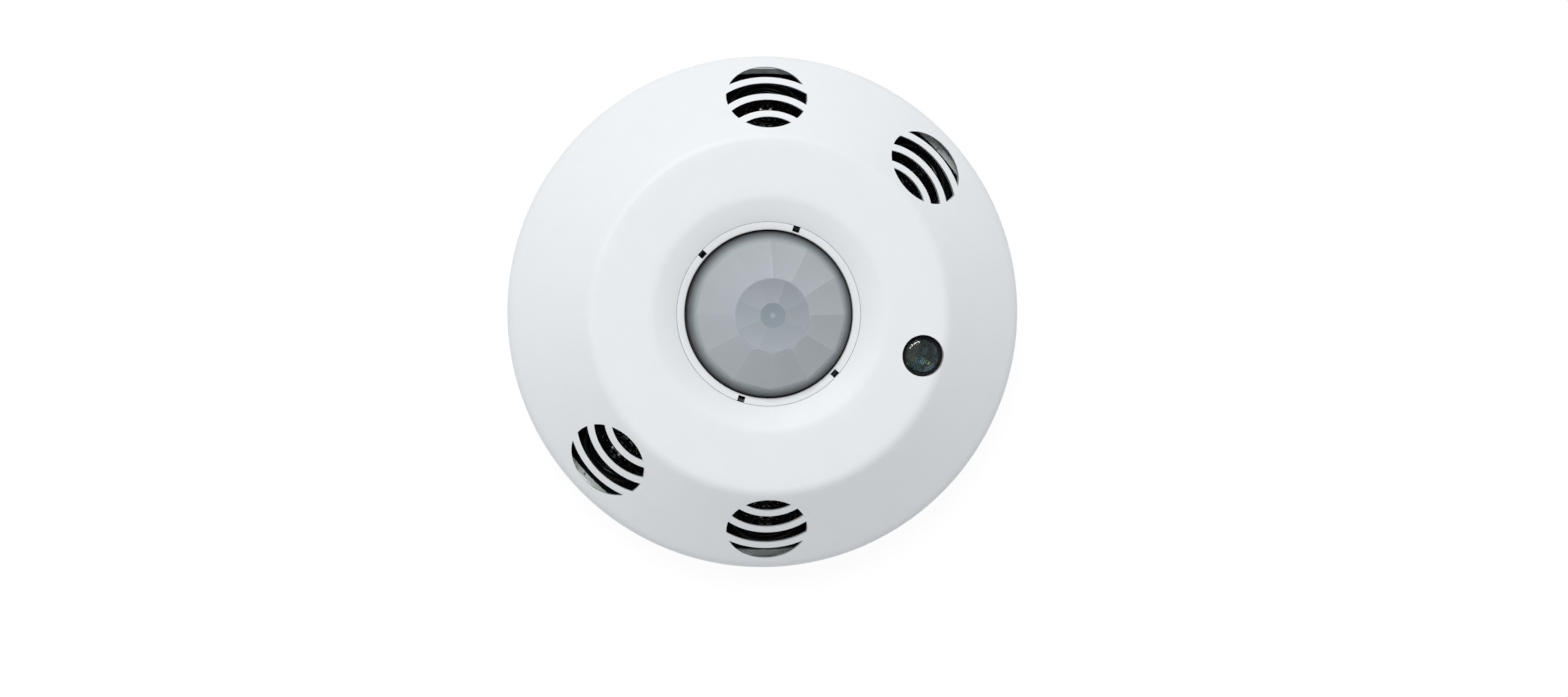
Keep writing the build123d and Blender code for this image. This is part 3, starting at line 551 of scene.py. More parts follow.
FACETS = (
    (INNER_SIDES, FACET_RADII[0], lens_top),
    (INNER_SIDES, FACET_RADII[1], dome_height(FACET_RADII[1])),
    (OUTER_SIDES, FACET_RADII[2], dome_height(FACET_RADII[2])),
    (OUTER_SIDES, FACET_RADII[3], dome_height(FACET_RADII[3])),
)
rings = [
    *FACETS,
    (ROUND_STEPS, BAND_RADIUS, dome_height(BAND_RADIUS)),
    (ROUND_STEPS, LENS_RADIUS, flange_top + OUTER_STEM),
    (ROUND_STEPS, LENS_RADIUS, flange_top),
    (ROUND_STEPS, flange_radius, flange_top),
    (ROUND_STEPS, flange_radius, flange_bottom),
    (ROUND_STEPS, inner_lens_radius, flange_bottom),
    (ROUND_STEPS, inner_lens_radius, flange_top + INNER_STEM),
]
for sides, radius, height in reversed(FACETS):
    rings.append((sides, radius - LENS_WALL / 2, height - LENS_WALL))
print(f"{len(rings)} circles, the lens's top at {lens_top / MM:.1f} mm")

# %% [markdown]
# All the circles are added to one mesh in edit mode. A new circle's vertices come last, so
# their numbers say which loop they belong to. The bridge tool then joins each loop to the
# next, and one face closes the inside at the top.

# %% Bridge the circles
start_clean()
bpy.ops.mesh.primitive_circle_add(
    vertices=INNER_SIDES,
    radius=FACET_RADII[0],
    location=(0, 0, lens_top),
    rotation=(0, 0, pi / INNER_SIDES),
    fill_type="NGON",
)
lens = named("faceted_lens")
bpy.ops.object.mode_set(mode="EDIT")
loops = [list(range(INNER_SIDES))]
for sides, radius, height in rings[1:]:
    turn = pi / INNER_SIDES if sides == INNER_SIDES else 0
    bpy.ops.mesh.primitive_circle_add(
        vertices=sides, radius=radius, location=(0, 0, height), rotation=(0, 0, turn)
    )
    first = loops[-1][-1] + 1
    loops.append(list(range(first, first + sides)))
for inner, outer in zip(loops, loops[1:]):
    bpy.ops.mesh.select_all(action="DESELECT")
    editing = bmesh.from_edit_mesh(lens.data)
    for edge in editing.edges:
        ends = {vertex.index for vertex in edge.verts}
        if ends <= set(inner) or ends <= set(outer):
            edge.select = True
    bmesh.update_edit_mesh(lens.data)
    bpy.ops.mesh.bridge_edge_loops()
bpy.ops.mesh.select_all(action="DESELECT")
editing = bmesh.from_edit_mesh(lens.data)
editing.verts.ensure_lookup_table()
for index in loops[-1]:
    editing.verts[index].select = True
editing.select_flush(True)
bmesh.update_edit_mesh(lens.data)
bpy.ops.mesh.edge_face_add()
close_up()
print(f"lens: {len(lens.data.polygons)} faces")

# %% [markdown]
# The facets are flat and have to look flat, so they are picked by the place of their
# middles and shaded flat. The round band outside them stays smooth.

# %% Shade the facets flat
FACETS_END = FACET_RADII[3] * 0.97
bpy.ops.object.mode_set(mode="EDIT")
bpy.ops.mesh.select_all(action="DESELECT")
editing = bmesh.from_edit_mesh(lens.data)
for face in editing.faces:
    face.select = face.calc_center_median().xy.length < FACETS_END
bmesh.update_edit_mesh(lens.data)
bpy.ops.mesh.faces_shade_flat()
bpy.ops.object.mode_set(mode="OBJECT")
print(f"{sum(not face.use_smooth for face in lens.data.polygons)} flat facets, inside and outside")

# %% [markdown]
# Two helpers keep the node trees short: one for a math node and one for a colour ramp.


# %% Small helpers for node trees
def math_node(tree, operation, *inputs):
    """A math node from numbers and sockets."""
    node = tree.nodes.new("ShaderNodeMath")
    node.operation = operation
    for socket, value in zip(node.inputs, inputs):
        if isinstance(value, (int, float)):
            socket.default_value = value
        else:
            tree.links.new(value, socket)
    return node.outputs[0]


def colour_ramp(tree, factor, stops):
    """A colour ramp with the given (position, colour) stops."""
    ramp = tree.nodes.new("ShaderNodeValToRGB").color_ramp
    while len(ramp.elements) < len(stops):
        ramp.elements.new(0.5)
    for element, (position, colour) in zip(ramp.elements, stops):
        element.position = position
        element.color = [*colour, 1]
    node = tree.nodes[-1]
    tree.links.new(factor, node.inputs["Fac"])
    return node.outputs["Color"]


# %% [markdown]
# Milky polyethylene lets some light through, so over the dark inside it looks grey: darker
# in the middle, where the wall is thick and faces the detector, with a small pale spot on the
# axis, and falling to black at the steep edge, where the black holder stands behind it and
# painted shade darkens the steep band as well. The finish mixes these greys by the distance
# from the axis. Painted shade makes them paler or darker along Y, the way the lamp falls on
# the dome, and each outer facet runs from a paler side to a darker one, also painted shade.
# A pale line is painted across one facet.

# %% Lens finish
# greys from the axis to the edge: a small pale spot on the axis, darker inner facets, paler outer
# ones
LENS_GREYS = (
    (0.0, (0.40, 0.45, 0.49)),
    (0.012, (0.38, 0.43, 0.47)),
    (0.04, (0.27, 0.315, 0.355)),
    (0.145, (0.27, 0.315, 0.355)),
    (0.155, (0.355, 0.39, 0.42)),
    (0.44, (0.355, 0.39, 0.42)),
    (0.45, (0.425, 0.46, 0.49)),
    (0.86, (0.425, 0.455, 0.48)),
    # towards the steep edge the greys fall to black: partly the black holder behind, partly
    # painted shade of the steep band
    (0.90, (0.35, 0.39, 0.41)),
    (0.945, (0.18, 0.20, 0.21)),
    (0.985, (0.04, 0.045, 0.05)),
    (1.0, (0.02, 0.02, 0.02)),
)
# painted shade: the greys lean paler or darker along Y, the way the lamp falls on the dome
INNER_PAINTED_SHADE = -0.5  # share by which the greys change from the axis to the edge along Y
OUTER_PAINTED_SHADE = -0.06
# painted shade: each outer facet runs from a paler side to a darker one
FACET_PAINTED_SHADE = 0.02  # share by which an outer facet's sides differ from its middle
# a pale line painted on one facet: half its width, its middle and reach along Y, and how much
# paler
PALE_LINE_HALF = 0.11 * MM
PALE_LINE_MIDDLE = 10.6 * MM
PALE_LINE_REACH = 2.5 * MM
PALE_LINE_GAIN = 0.13
GROOVE_PITCH = 0.45 * MM


def lens_finish():
    """Grey translucent plastic, with painted shade that follows the facets and leans along Y."""
    material = bpy.data.materials.new("lens_plastic")
    material.use_nodes = True
    tree = material.node_tree
    shader = tree.nodes["Principled BSDF"]
    place = tree.nodes.new("ShaderNodeTexCoord").outputs["Object"]
    split = tree.nodes.new("ShaderNodeSeparateXYZ")
    tree.links.new(place, split.inputs[0])
    x, y = split.outputs[0], split.outputs[1]
    square = math_node(tree, "ADD", math_node(tree, "POWER", x, 2), math_node(tree, "POWER", y, 2))
    radius = math_node(tree, "SQRT", square)
    greys = colour_ramp(tree, math_node(tree, "DIVIDE", radius, LENS_RADIUS), LENS_GREYS)

    # painted shade across each outer facet, paler on one side and darker on the other
    facet_angle = 2 * pi / OUTER_SIDES
    turns = math_node(tree, "DIVIDE", math_node(tree, "ARCTAN2", y, x), facet_angle)
    sector = math_node(tree, "FRACT", math_node(tree, "ADD", turns, OUTER_SIDES))
    facet_shade = tree.nodes.new("ShaderNodeMapRange")
    facet_shade.inputs["To Min"].default_value = 1 + FACET_PAINTED_SHADE
    facet_shade.inputs["To Max"].default_value = 1 - FACET_PAINTED_SHADE
    tree.links.new(sector, facet_shade.inputs["Value"])
    # a pale line painted across one facet
    beside = math_node(tree, "LESS_THAN", math_node(tree, "ABSOLUTE", x), PALE_LINE_HALF)
    within = math_node(tree, "COMPARE", y, PALE_LINE_MIDDLE, PALE_LINE_REACH)
    on_line = math_node(tree, "MULTIPLY", beside, within)
    pale_line = math_node(tree, "MULTIPLY", on_line, PALE_LINE_GAIN)
    shade = tree.nodes.new("ShaderNodeVectorMath")
    shade.operation = "SCALE"
    tree.links.new(greys, shade.inputs[0])
    outside = math_node(tree, "GREATER_THAN", radius, FACET_RADII[1])
    swing = math_node(tree, "SUBTRACT", facet_shade.outputs["Result"], 1)
    steps = math_node(tree, "MULTIPLY", swing, outside)
    # painted shade along Y, one way on the inner facets and the other way on the outer ones
    lean = math_node(tree, "MULTIPLY", outside, OUTER_PAINTED_SHADE - INNER_PAINTED_SHADE)
    lean = math_node(tree, "ADD", lean, INNER_PAINTED_SHADE)
    painted_shade = math_node(tree, "MULTIPLY", math_node(tree, "DIVIDE", y, LENS_RADIUS), lean)
    total = math_node(tree, "ADD", math_node(tree, "ADD", steps, pale_line), painted_shade)
    tree.links.new(math_node(tree, "ADD", total, 1), shade.inputs["Scale"])
    tree.links.new(shade.outputs[0], shader.inputs["Base Color"])

    grooves = math_node(tree, "SINE", math_node(tree, "MULTIPLY", radius, 2 * pi / GROOVE_PITCH))
    bump = tree.nodes.new("ShaderNodeBump")
    bump.inputs["Strength"].default_value = 0.25
    bump.inputs["Distance"].default_value = 0.008 * MM
    tree.links.new(grooves, bump.inputs["Height"])
    tree.links.new(bump.outputs["Normal"], shader.inputs["Normal"])
    shader.inputs["Roughness"].default_value = 0.55
    shader.inputs[SPECULAR].default_value = 0.25
    shader.inputs["Subsurface Weight"].default_value = 0.4
    shader.inputs["Subsurface Radius"].default_value = (1.0, 1.0, 1.0)
    shader.inputs["Subsurface Scale"].default_value = 2.0 * MM
    return material


dress(lens, "sensor", "lens_plastic", lens_finish(), "pir_lens")
print(f"lens finish: {len(LENS_GREYS)} greys from the axis to the edge")

# %% [markdown]
# ## Ultrasonic transducers
# Behind each opening an aluminium can sits in a rubber boot, tilted with the slope. What
# shows is its black wire screen: three hoops and a heavier rim, with twelve spokes behind
# them. One screen is built lying flat, to be copied under each opening.

# %% Wire screen
CAN_BORE = 7.4 * MM
WIRE = 0.32 * MM
HOOPS = (2.2 * MM, 3.9 * MM, 5.6 * MM)
SPOKES = 12
SPOKE_SIZE = (CAN_BORE - 2.6 * MM, WIRE * 1.4, WIRE)
SPOKE_MIDDLE = CAN_BORE / 2 + 0.9 * MM


def wire_ring(name, radius, wire, height):
    """A round wire bent into a ring: a small octagon spun round the axis."""
    sides = 8
    outline = []
    for side in range(sides + 1):
        angle = 2 * pi * side / sides
        outline.append((radius + wire * cos(angle), height + wire * sin(angle)))
    return lathe(name, outline, steps=72, smooth=60)


wires = [wire_ring("wire", radius, WIRE, -WIRE) for radius in HOOPS]
wires.append(wire_ring("wire", CAN_BORE - 2 * WIRE, 2 * WIRE, -2 * WIRE))
for spoke in range(SPOKES):
    angle = 2 * pi * spoke / SPOKES
    wires.append(block("spoke", SPOKE_SIZE, around(SPOKE_MIDDLE, angle, -2 * WIRE), angle))
screen_master = join("screen_master", wires)
print(f"wire screen: {len(screen_master.data.polygons)} faces")

# %% [markdown]
# Through the screen glints the small silver cone that sends and hears the sound, with the
# tinned heads of its two rivets. A felt disc behind them closes the can.

# %% Cone, rivets and felt backing
RIVET_SIDE = 0.6 * MM
RIVET_REACH = 1.05 * MM
BACKING_DEPTH = 2.4 * MM
BACKING_TOP = -BACKING_DEPTH + 0.5 * MM
BACKING_RADIUS = CAN_BORE - 0.1 * MM
cone_master = lathe(
    "cone_master",
    rounded(
        [
            (0, -1.55 * MM, 0),
            (4.6 * MM, -1.55 * MM, 0.1 * MM),
            (4.6 * MM, -1.15 * MM, 0.15 * MM),
            (1.1 * MM, -0.95 * MM, 0.4 * MM),
            (0.9 * MM, -0.75 * MM, 0.1 * MM),
            (0, -0.75 * MM, 0),
        ],
        closed=False,
        run=1.0 * MM,
    ),
    steps=96,
)
single_rivet = lathe(
    "rivet_master",
    [
        (0, -1.2 * MM),
        (0.5 * MM, -1.2 * MM),
        (0.5 * MM, -0.5 * MM),
        (0.3 * MM, -0.25 * MM),
        (0, -0.2 * MM),
    ],
    steps=24,
    smooth=50,
)
rivets = [
    duplicate(single_rivet, "rivet", Matrix.Translation((RIVET_SIDE, side, 0)))
    for side in (-RIVET_REACH, RIVET_REACH)
]
discard(single_rivet)
rivet_master = join("rivet_master", rivets)
backing_master = lathe(
    "backing_master",
    [
        (0, -BACKING_DEPTH),
        (BACKING_RADIUS, -BACKING_DEPTH),
        (BACKING_RADIUS, BACKING_TOP),
        (0, BACKING_TOP),
    ],
    steps=96,
)
print(f"cone {len(cone_master.data.polygons)} faces, rivets {len(rivet_master.data.polygons)}")

# %% [markdown]
# The screen is blackened metal, the cone dull silver and the rivets tinned. The rubber is
# matt and nearly black, and so is the coated can, so that only the glints stand out.

# %% Finishes of the transducers
BLACKENED = (0.02, 0.021, 0.021)
SILVER = (0.17, 0.175, 0.17)
MATT_BLACK = (0.008, 0.008, 0.009)
screen_black = finish(
    "transducer_screen", BLACKENED, 0.25, shade=0.6, grain=1.2, bump=0.002, Metallic=1.0
)
silver = finish(
    "transducer_aluminium", SILVER, 0.16, shade=0.8, grain=0.6, bump=0.004, Metallic=1.0
)
rubber = finish(
    "boot_rubber", MATT_BLACK, 0.75, shade=0.7, grain=0.25, bump=0.04, **{SPECULAR: 0.1}
)
tin = finish("tin", (0.72, 0.71, 0.68), 0.3, shade=0.82, patch=0.8, grain=0.2, Metallic=1.0)
can_black = finish("black_can", (0.016, 0.017, 0.018), 0.4, shade=0.7, grain=0.15, Metallic=0.5)
print("five finishes for the transducers")

# %% [markdown]
# Each copy is tilted with the slope and set a little below it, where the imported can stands.

# %% Seat the pieces under the openings
CAN_FACE_DEPTH = 4.2 * MM


def slope_matrix(angle, depth):
    """From a piece built round the Z axis to its seat under a barred opening."""
    seat = Matrix.Translation((GRILLE_RADIUS, 0, GRILLE_HEIGHT))
    tilt = Matrix.Rotation(SLOPE, 4, "Y")
    return Matrix.Rotation(angle, 4, "Z") @ seat @ tilt @ Matrix.Translation((0, 0, -depth))


for number, angle in enumerate(TRANSDUCER_ANGLES, start=1):
    seat = slope_matrix(angle, CAN_FACE_DEPTH)
    backing = duplicate(backing_master, f"felt_backing_{number}", seat)
    dress(backing, "sensor", "boot_rubber", rubber)
    screen = duplicate(screen_master, f"wire_screen_{number}", seat)
    dress(screen, "sensor", "transducer_screen", screen_black, f"transducer_screen_{number}")
    cone = duplicate(cone_master, f"resonator_cone_{number}", seat)
    dress(cone, "sensor", "transducer_aluminium", silver)
    pair = duplicate(rivet_master, f"rivets_{number}", seat)
    dress(pair, "sensor", "steel_screws", tin)
discard(screen_master, cone_master, backing_master, rivet_master)
print("four screens, cones, pairs of rivets and backings seated under the openings")

# %% [markdown]
# A dark ring lies on the floor of the rear housing, just inside its rim, as painted shade:
# from the front it is the dark behind the outermost gap, next to the pale rim.

# %% Ring of painted shade
HOUSING_RIM = 1.1 * MM
SHADE_RING_ROUND = 0.3 * MM
rim_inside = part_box("rear_housing")[1].x - HOUSING_RIM
shade_ring_inside = rim_inside - 4.0 * MM
shade_ring_outside = rim_inside - 0.05 * MM
floor_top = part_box("transducer_cradle_1")[0].z
shade_ring_top = floor_top + 2.0 * MM
# a dark ring that stands in for the shade behind the outermost gap
shade_ring = lathe(
    "painted_shade_ring",
    rounded(
        [
            (shade_ring_inside, floor_top, 0),
            (shade_ring_outside, floor_top, 0),
            (shade_ring_outside, shade_ring_top, SHADE_RING_ROUND),
            (shade_ring_inside, shade_ring_top, SHADE_RING_ROUND),
        ]
    ),
)
dress(shade_ring, "sensor", "boot_rubber", rubber)
print(f"foam ring out to {rim_inside / MM:.2f} mm")

# %% [markdown]
# ## Window
# A clear acrylic rod leads daylight down a black sleeve to the light cell. Its upper end is
# flat with a well rounded edge, which mirrors the lamp as a bright line, so the outline
# that is spun ends in an arc.

# %% The clear rod
pipe_low, pipe_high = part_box("light_pipe")
pipe_centre = (pipe_low + pipe_high) / 2
pipe_radius = (pipe_high.x - pipe_low.x) / 2
ROD_ROUND = 1.1 * MM  # the rounding of the rod's upper edge, where the lamp is mirrored
ROD_LEAN = radians(50)
ROD_STEPS = 12
rod_flat = pipe_radius - ROD_ROUND * sin(ROD_LEAN)
rod_outline = [(0, pipe_low.z), (pipe_radius, pipe_low.z)]
for step in range(ROD_STEPS + 1):
    lean = ROD_LEAN * (1 - step / ROD_STEPS)
    rod_height = pipe_high.z - ROD_ROUND * (1 - cos(lean))
    rod_outline.append((rod_flat + ROD_ROUND * sin(lean), rod_height))
rod_outline.append((0, pipe_high.z))
rod = lathe("clear_rod", rod_outline, steps=96)
rod.data.transform(Matrix.Translation((pipe_centre.x, pipe_centre.y, 0)))
print(f"rod {2 * pipe_radius / MM:.1f} mm across, up to {pipe_high.z / MM:.1f} mm")

# %% [markdown]
# The clear finish is nearly all see-through, with a sharp reflection that grows towards
# the edge, as on any clear plastic.


# %% Finish of the rod
def clear_finish():
    """See-through plastic, mirror-like where the surface turns away."""
    material = bpy.data.materials.new("clear_plastic")
    material.use_nodes = True
    tree = material.node_tree
    tree.nodes.remove(tree.nodes["Principled BSDF"])
    through = tree.nodes.new("ShaderNodeBsdfTransparent")
    through.inputs["Color"].default_value = (0.72, 0.83, 0.88, 1)
    mirror = tree.nodes.new("ShaderNodeBsdfGlossy")
    mirror.inputs["Roughness"].default_value = 0.05
    edge = tree.nodes.new("ShaderNodeFresnel")
    edge.inputs["IOR"].default_value = 1.7
    mix = tree.nodes.new("ShaderNodeMixShader")
    tree.links.new(edge.outputs[0], mix.inputs[0])
    tree.links.new(through.outputs[0], mix.inputs[1])
    tree.links.new(mirror.outputs[0], mix.inputs[2])
    tree.links.new(mix.outputs[0], tree.nodes["Material Output"].inputs["Surface"])
    return material


dress(rod, "sensor", "clear_plastic", clear_finish(), "light_pipe")
print(f"{rod.name} wears {rod.data.materials[0].name}")

# %% [markdown]
# Round the light cell lie a few gilded pads with a hole in each, dim at the bottom of the
# sleeve. Each is a small flat ring, spun from its section.

# %% Gold pads round the light cell
BOARD_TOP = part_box("main_board")[1].z
PAD_TOP = BOARD_TOP + 0.12 * MM
PAD_HOLE = 0.35  # share of the pad's radius
PADS = (  # x, y and radius in mm, from the rod's axis
    (0.7, 2.3, 0.65),
    (-1.7, -2.5, 0.5),
    (2.9, -2.0, 0.45),
    (-2.6, 1.9, 0.4),
)
gold = finish("gold_pads", (0.85, 0.62, 0.22), 0.3, shade=0.85, grain=0.1, Metallic=1.0)
pads = []
for x, y, radius in PADS:
    hole, edge = PAD_HOLE * radius * MM, radius * MM
    section = [(hole, BOARD_TOP), (edge, BOARD_TOP), (edge, PAD_TOP), (hole, PAD_TOP)]
    pad = lathe("pad", [*section, section[0]], steps=24)
    pad.data.transform(Matrix.Translation((pipe_centre.x + x * MM, pipe_centre.y + y * MM, 0)))
    pads.append(pad)
dress(join("gold_pads", pads), "sensor", "circuit_board", gold)
print(f"{len(pads)} gold pads")

# %% [markdown]
# ## Circuit board
# Glass fibre under green lacquer. The tracks could be modelled as strips of copper, but they
# are only a tenth of a millimetre high, so a brick pattern under a noise mask draws them,
# and a regular cell pattern draws the tinned holes.

# %% Board finish
HOLE_PITCH = 2.54 * MM
TRACK_PAINT = (0.05, 0.27, 0.12, 1)
TIN_PAINT = (0.66, 0.64, 0.56, 1)


def board_finish():
    """Green lacquer with paler tracks under it and patches of tinned holes."""
    material = finish("circuit_board", (0.018, 0.15, 0.07), 0.32, shade=0.75, grain=0.5, bump=0.01)
    tree = material.node_tree
    shader = tree.nodes["Principled BSDF"]
    place = tree.nodes["Texture Coordinate"].outputs["Object"]

    def patches(size, level):
        """One where a slow noise is above the level, zero elsewhere."""
        noise = tree.nodes.new("ShaderNodeTexNoise")
        noise.inputs["Scale"].default_value = 1 / size
        tree.links.new(place, noise.inputs["Vector"])
        return math_node(tree, "GREATER_THAN", noise.outputs["Fac"], level)

    tracks = tree.nodes.new("ShaderNodeTexBrick")
    tracks.inputs["Scale"].default_value = 1 / MM
    tracks.inputs["Brick Width"].default_value = 8.0
    tracks.inputs["Row Height"].default_value = 1.3
    tracks.inputs["Mortar Size"].default_value = 0.14
    tree.links.new(place, tracks.inputs["Vector"])
    tracked = math_node(tree, "MULTIPLY", tracks.outputs["Fac"], patches(9 * MM, 0.48))
    holes = tree.nodes.new("ShaderNodeTexVoronoi")
    holes.voronoi_dimensions = "2D"
    holes.inputs["Scale"].default_value = 1 / HOLE_PITCH
    holes.inputs["Randomness"].default_value = 0.0
    tree.links.new(place, holes.inputs["Vector"])
    dots = math_node(tree, "LESS_THAN", holes.outputs["Distance"], 0.17)
    tinned = math_node(tree, "MULTIPLY", dots, patches(7 * MM, 0.56))

    colour = shader.inputs["Base Color"].links[0].from_socket
    for factor, paint in ((tracked, TRACK_PAINT), (tinned, TIN_PAINT)):
        mix = tree.nodes.new("ShaderNodeMix")
        mix.data_type = "RGBA"
        tree.links.new(factor, mix.inputs["Factor"])
        tree.links.new(colour, mix.inputs["A"])
        mix.inputs["B"].default_value = paint
        colour = mix.outputs["Result"]
    tree.links.new(colour, shader.inputs["Base Color"])
    tree.links.new(tinned, shader.inputs["Metallic"])
    return material


# %% [markdown]
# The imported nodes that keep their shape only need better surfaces. Each takes the finish
# of its material slot, so all the parts made of one stuff change together.

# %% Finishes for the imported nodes
black_epoxy = finish(
    "chip_plastic", (0.018, 0.018, 0.019), 0.55, shade=0.7, grain=0.15, bump=0.03
)
FINISHES = {
    "base_plastic": base_white,
    "housing_plastic": housing_white,
    "black_plastic": black_plastic,
    "boot_rubber": rubber,
    "transducer_aluminium": can_black,
    "circuit_board": board_finish(),
    "chip_plastic": black_epoxy,
    "steel_screws": finish(
        "steel_screws", (0.6, 0.59, 0.57), 0.34, shade=0.8, grain=0.2, Metallic=1.0
    ),
    "detector_metal": finish("detector_metal", (0.78, 0.76, 0.7), 0.2, shade=0.9, Metallic=1.0),
    "detector_filter": finish("detector_filter", (0.02, 0.012, 0.03), 0.12, shade=0.6, bump=0.01),
    "photocell": finish("photocell", (0.62, 0.44, 0.16), 0.5, shade=0.5, patch=0.6, grain=0.2),
    "led_plastic": finish("led_plastic", (0.72, 0.74, 0.66), 0.2, shade=0.85, patch=0.8),
    "trim_body": finish("trim_body", (0.03, 0.10, 0.33), 0.4, shade=0.85, patch=3.0),
    "trim_knob": finish("trim_knob", (0.74, 0.72, 0.66), 0.5, shade=0.92, patch=2.0),
    "dip_body": finish("dip_body", (0.42, 0.03, 0.025), 0.45, shade=0.85, patch=3.0),
    "dip_slider": finish("dip_slider", (0.78, 0.78, 0.75), 0.45, shade=0.93, patch=1.0),
    "terminal_plastic": finish(
        "terminal_plastic", (0.03, 0.20, 0.08), 0.45, shade=0.88, patch=4.0
    ),
    "relay_case": finish("relay_case", (0.02, 0.02, 0.022), 0.35, shade=0.75, patch=6.0),
    "crystal_metal": finish("crystal_metal", (0.68, 0.68, 0.66), 0.28, shade=0.85, Metallic=1.0),
    "capacitor_sleeve": finish(
        "capacitor_sleeve", (0.02, 0.022, 0.05), 0.35, shade=0.75, patch=2.0
    ),
}
for node in nodes.values():
    for holder in node.material_slots:
        holder.material = FINISHES.get(holder.material.name, holder.material)
print(f"{len(FINISHES)} finishes on the packed nodes")

# %% [markdown]
# ## Small parts on the board
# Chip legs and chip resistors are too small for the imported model, and yet they are what
# makes a board look populated. A leg is the side view of a bent strip, extruded to its
# width. A row of them is copied to each side of a chip.


# %% Legs of the chips
def leg_row(name, count, pitch, width):
    """A row of bent legs along Y that reach from x = 0 down and out to the board at z = 0."""
    foot, knee, top, thick = 1.1 * MM, 0.45 * MM, 0.7 * MM, 0.15 * MM
    profile = [(0, top), (knee, top), (knee + thick, 0), (foot, 0), (foot, thick)]
    profile += [(knee + 2 * thick, thick), (knee + thick, top + thick), (0, top + thick)]
    legs = []
    for number in range(count):
        side = (number - (count - 1) / 2) * pitch - width / 2
        legs.append(slab(name, [(x, side, z) for x, z in profile], (0, width, 0)))
    return join(name, legs)


def seat_on_board(radius, angle, side, reach):
    """From the origin to one side of a chip that stands on the board at a polar place."""
    place = Matrix.Translation(around(radius, angle, BOARD_TOP))
    return place @ Matrix.Rotation(angle + side, 4, "Z") @ Matrix.Translation((reach, 0, 0))


CHIP_CIRCLE = 26.0 * MM
CHIP_ANGLE = radians(66)
CHIP_HALF = 3.5 * MM  # half the chip's width
AMPLIFIER_CIRCLE = 25.2 * MM
AMPLIFIER_HALF = 1.95 * MM
fine_row = leg_row("fine_row", count=8, pitch=0.8 * MM, width=0.34 * MM)
coarse_row = leg_row("coarse_row", count=7, pitch=1.27 * MM, width=0.42 * MM)
legs = []
for quarter in range(4):
    seat = seat_on_board(CHIP_CIRCLE, CHIP_ANGLE, quarter * pi / 2, CHIP_HALF)
    legs.append(duplicate(fine_row, "legs", seat))
for angle in TRANSDUCER_ANGLES:
    for side in (0, pi):
        seat = seat_on_board(AMPLIFIER_CIRCLE, angle, side, AMPLIFIER_HALF)
        legs.append(duplicate(coarse_row, "legs", seat))
discard(fine_row, coarse_row)
print(f"{len(legs)} rows of legs")
dress(join("chip_legs", legs), "sensor", "steel_screws", tin)

# %% [markdown]
# Resistors are blocks with tinned ends, set on four circles wherever the board is bare. A
# ray from above tells whether anything stands on a spot or close round it.

# %% Find the bare spots
NOT_STANDING = ("front_cover", "lens_ring", "pir_lens", "light_pipe", "main_board")
standing = [
    node for name, node in nodes.items() if name not in NOT_STANDING and "screen" not in name
]
CIRCLES = 4
SPOTS = 60  # places looked at on each circle
FIRST_CIRCLE = 23.6  # radius and spacing of the circles in mm
CIRCLE_STEP = 2.9
CIRCLE_TWIST = 0.03  # turn from one circle to the next in radians


def bare(x, y, margin=1.5 * MM):
    """Whether nothing stands on the board at a place or close round it."""
    for dx, dy in ((0, 0), (margin, 0), (-margin, 0), (0, margin), (0, -margin)):
        above = Vector((x + dx, y + dy, FACE_HEIGHT))
        for node in standing:
            hit, place, _, _ = node.ray_cast(above, Vector((0, 0, -1)))
            if hit and place.z > BOARD_TOP - MM:
                return False
    return True


spots = []  # place and turn, every second one lying across its circle
for circle in range(CIRCLES):
    radius = (FIRST_CIRCLE + CIRCLE_STEP * circle) * MM
    for step in range(SPOTS):
        angle = step * 2 * pi / SPOTS + circle * CIRCLE_TWIST
        spot = around(radius, angle)
        if bare(spot.x, spot.y):
            spots.append((spot, angle + (step % 2) * pi / 2))
print(f"{len(spots)} bare spots")

# %% [markdown]
# The bodies and the ends are made as two pieces, because a piece has one finish.

# %% Chip resistors
RESISTOR_SIZE = (1.1 * MM, 0.8 * MM, 0.46 * MM)
RESISTOR_MIDDLE = BOARD_TOP + 0.25 * MM
END_SIZE = (0.36 * MM, 0.84 * MM, 0.5 * MM)
END_REACH = 0.72 * MM
bodies, ends = [], []
for spot, turn in spots:
    middle = spot + Vector((0, 0, RESISTOR_MIDDLE))
    bodies.append(block("resistor", RESISTOR_SIZE, middle, turn))
    for end in (-END_REACH, END_REACH):
        ends.append(block("end", END_SIZE, middle + around(end, turn), turn))
print(f"{len(bodies)} chip resistors with {len(ends)} ends")
dress(join("chip_resistors", bodies), "sensor", "chip_plastic", black_epoxy)
dress(join("resistor_ends", ends), "sensor", "steel_screws", tin)

# %% [markdown]
# ## Floor, light and camera
# The sensor lies on its back on a white table that glows a little, so its shadow stays
# faint. A low round backdrop hides the horizon from the side and casts no light.

# %% Table and backdrop
TABLE_SIZE = 6.0
BACKDROP_RADIUS = 2.9
BACKDROP_HEIGHT = 0.7
start_clean()
bpy.ops.mesh.primitive_plane_add(size=TABLE_SIZE, location=(0, 0, 0))
floor = named("table")
backdrop_line = [(BACKDROP_RADIUS, 0), (BACKDROP_RADIUS, BACKDROP_HEIGHT)]
backdrop = lathe("backdrop", backdrop_line, steps=96)
backdrop.visible_diffuse = False
backdrop.visible_glossy = False
table = bpy.data.materials.new("table_white")
table.use_nodes = True
table_shader = table.node_tree.nodes["Principled BSDF"]
table_shader.inputs["Base Color"].default_value = (0.08, 0.08, 0.08, 1)
table_shader.inputs["Roughness"].default_value = 1.0
table_shader.inputs[SPECULAR].default_value = 0.0
table_shader.inputs["Emission Color"].default_value = (1, 1, 1, 1)
table_shader.inputs["Emission Strength"].default_value = 0.93
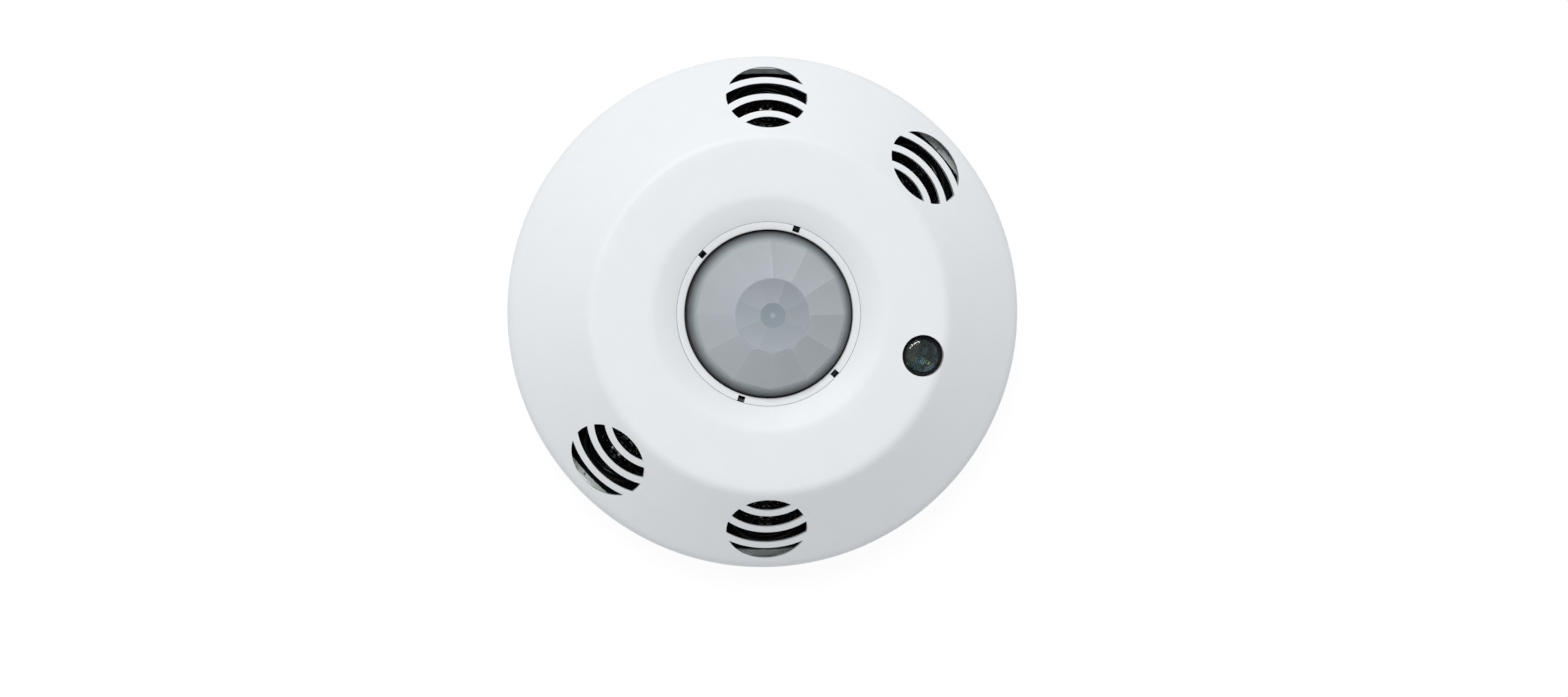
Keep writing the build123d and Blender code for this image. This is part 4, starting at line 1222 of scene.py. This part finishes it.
for piece in (floor, backdrop):
    piece.data.materials.append(table)
    piece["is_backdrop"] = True
print(f"table {TABLE_SIZE:.0f} m wide with a backdrop {BACKDROP_HEIGHT} m high")

# %% [markdown]
# One large soft lamp stands above, a little behind and to the left, and an even white room
# fills the rest.

# %% Light
scene = bpy.context.scene
world = bpy.data.worlds.new("white_room")
scene.world = world
world.use_nodes = True
world.node_tree.nodes["Background"].inputs["Color"].default_value = (1, 1, 1, 1)
world.node_tree.nodes["Background"].inputs["Strength"].default_value = 0.38

LAMP_DISTANCE = 2.0
LAMP_SIDE = Vector((-0.16, 0.41, 0.9)).normalized()
lamp_data = bpy.data.lights.new("soft_lamp", "AREA")
lamp_data.shape = "DISK"
lamp_data.size = 1.0
lamp_data.energy = 27.5
lamp = bpy.data.objects.new("soft_lamp", lamp_data)
scene.collection.objects.link(lamp)
lamp.location = LAMP_SIDE * LAMP_DISTANCE
lamp.rotation_euler = LAMP_SIDE.to_track_quat("Z", "Y").to_euler()
scene.view_settings.view_transform = "Standard"
print(f"lamp of {lamp_data.energy} W, {LAMP_DISTANCE} m away")

# %% [markdown]
# The camera looks almost straight down at the face, from a little to the left, with a long
# lens that keeps the circles round.

# %% Camera
CAMERA_DISTANCE = 760 * MM
view_centre = Vector((3.2 * MM, -7.5 * MM, FACE_HEIGHT))
camera_data = bpy.data.cameras.new("camera")
camera_data.lens = 80
camera_data.sensor_width = 36
camera = bpy.data.objects.new("camera", camera_data)
scene.collection.objects.link(camera)
camera.location = (-57 * MM, 19 * MM, FACE_HEIGHT + CAMERA_DISTANCE)
back = (camera.location - view_centre).normalized()
right = Vector((0, 1, 0)).cross(back).normalized()
up = back.cross(right)
facing = Matrix((right, up, back)).transposed().to_4x4()
camera.matrix_world = Matrix.Translation(camera.location) @ facing
scene.camera = camera
print(f"camera {CAMERA_DISTANCE / MM:.0f} mm above the face")

# %% [markdown]
# Last, the box of the finished scene is printed, so that its size shows.

# %% Print the finished box
low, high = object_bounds()
size = (high - low) / MM
print(f"visual box {size.x:.2f} by {size.y:.2f} by {size.z:.2f} mm")
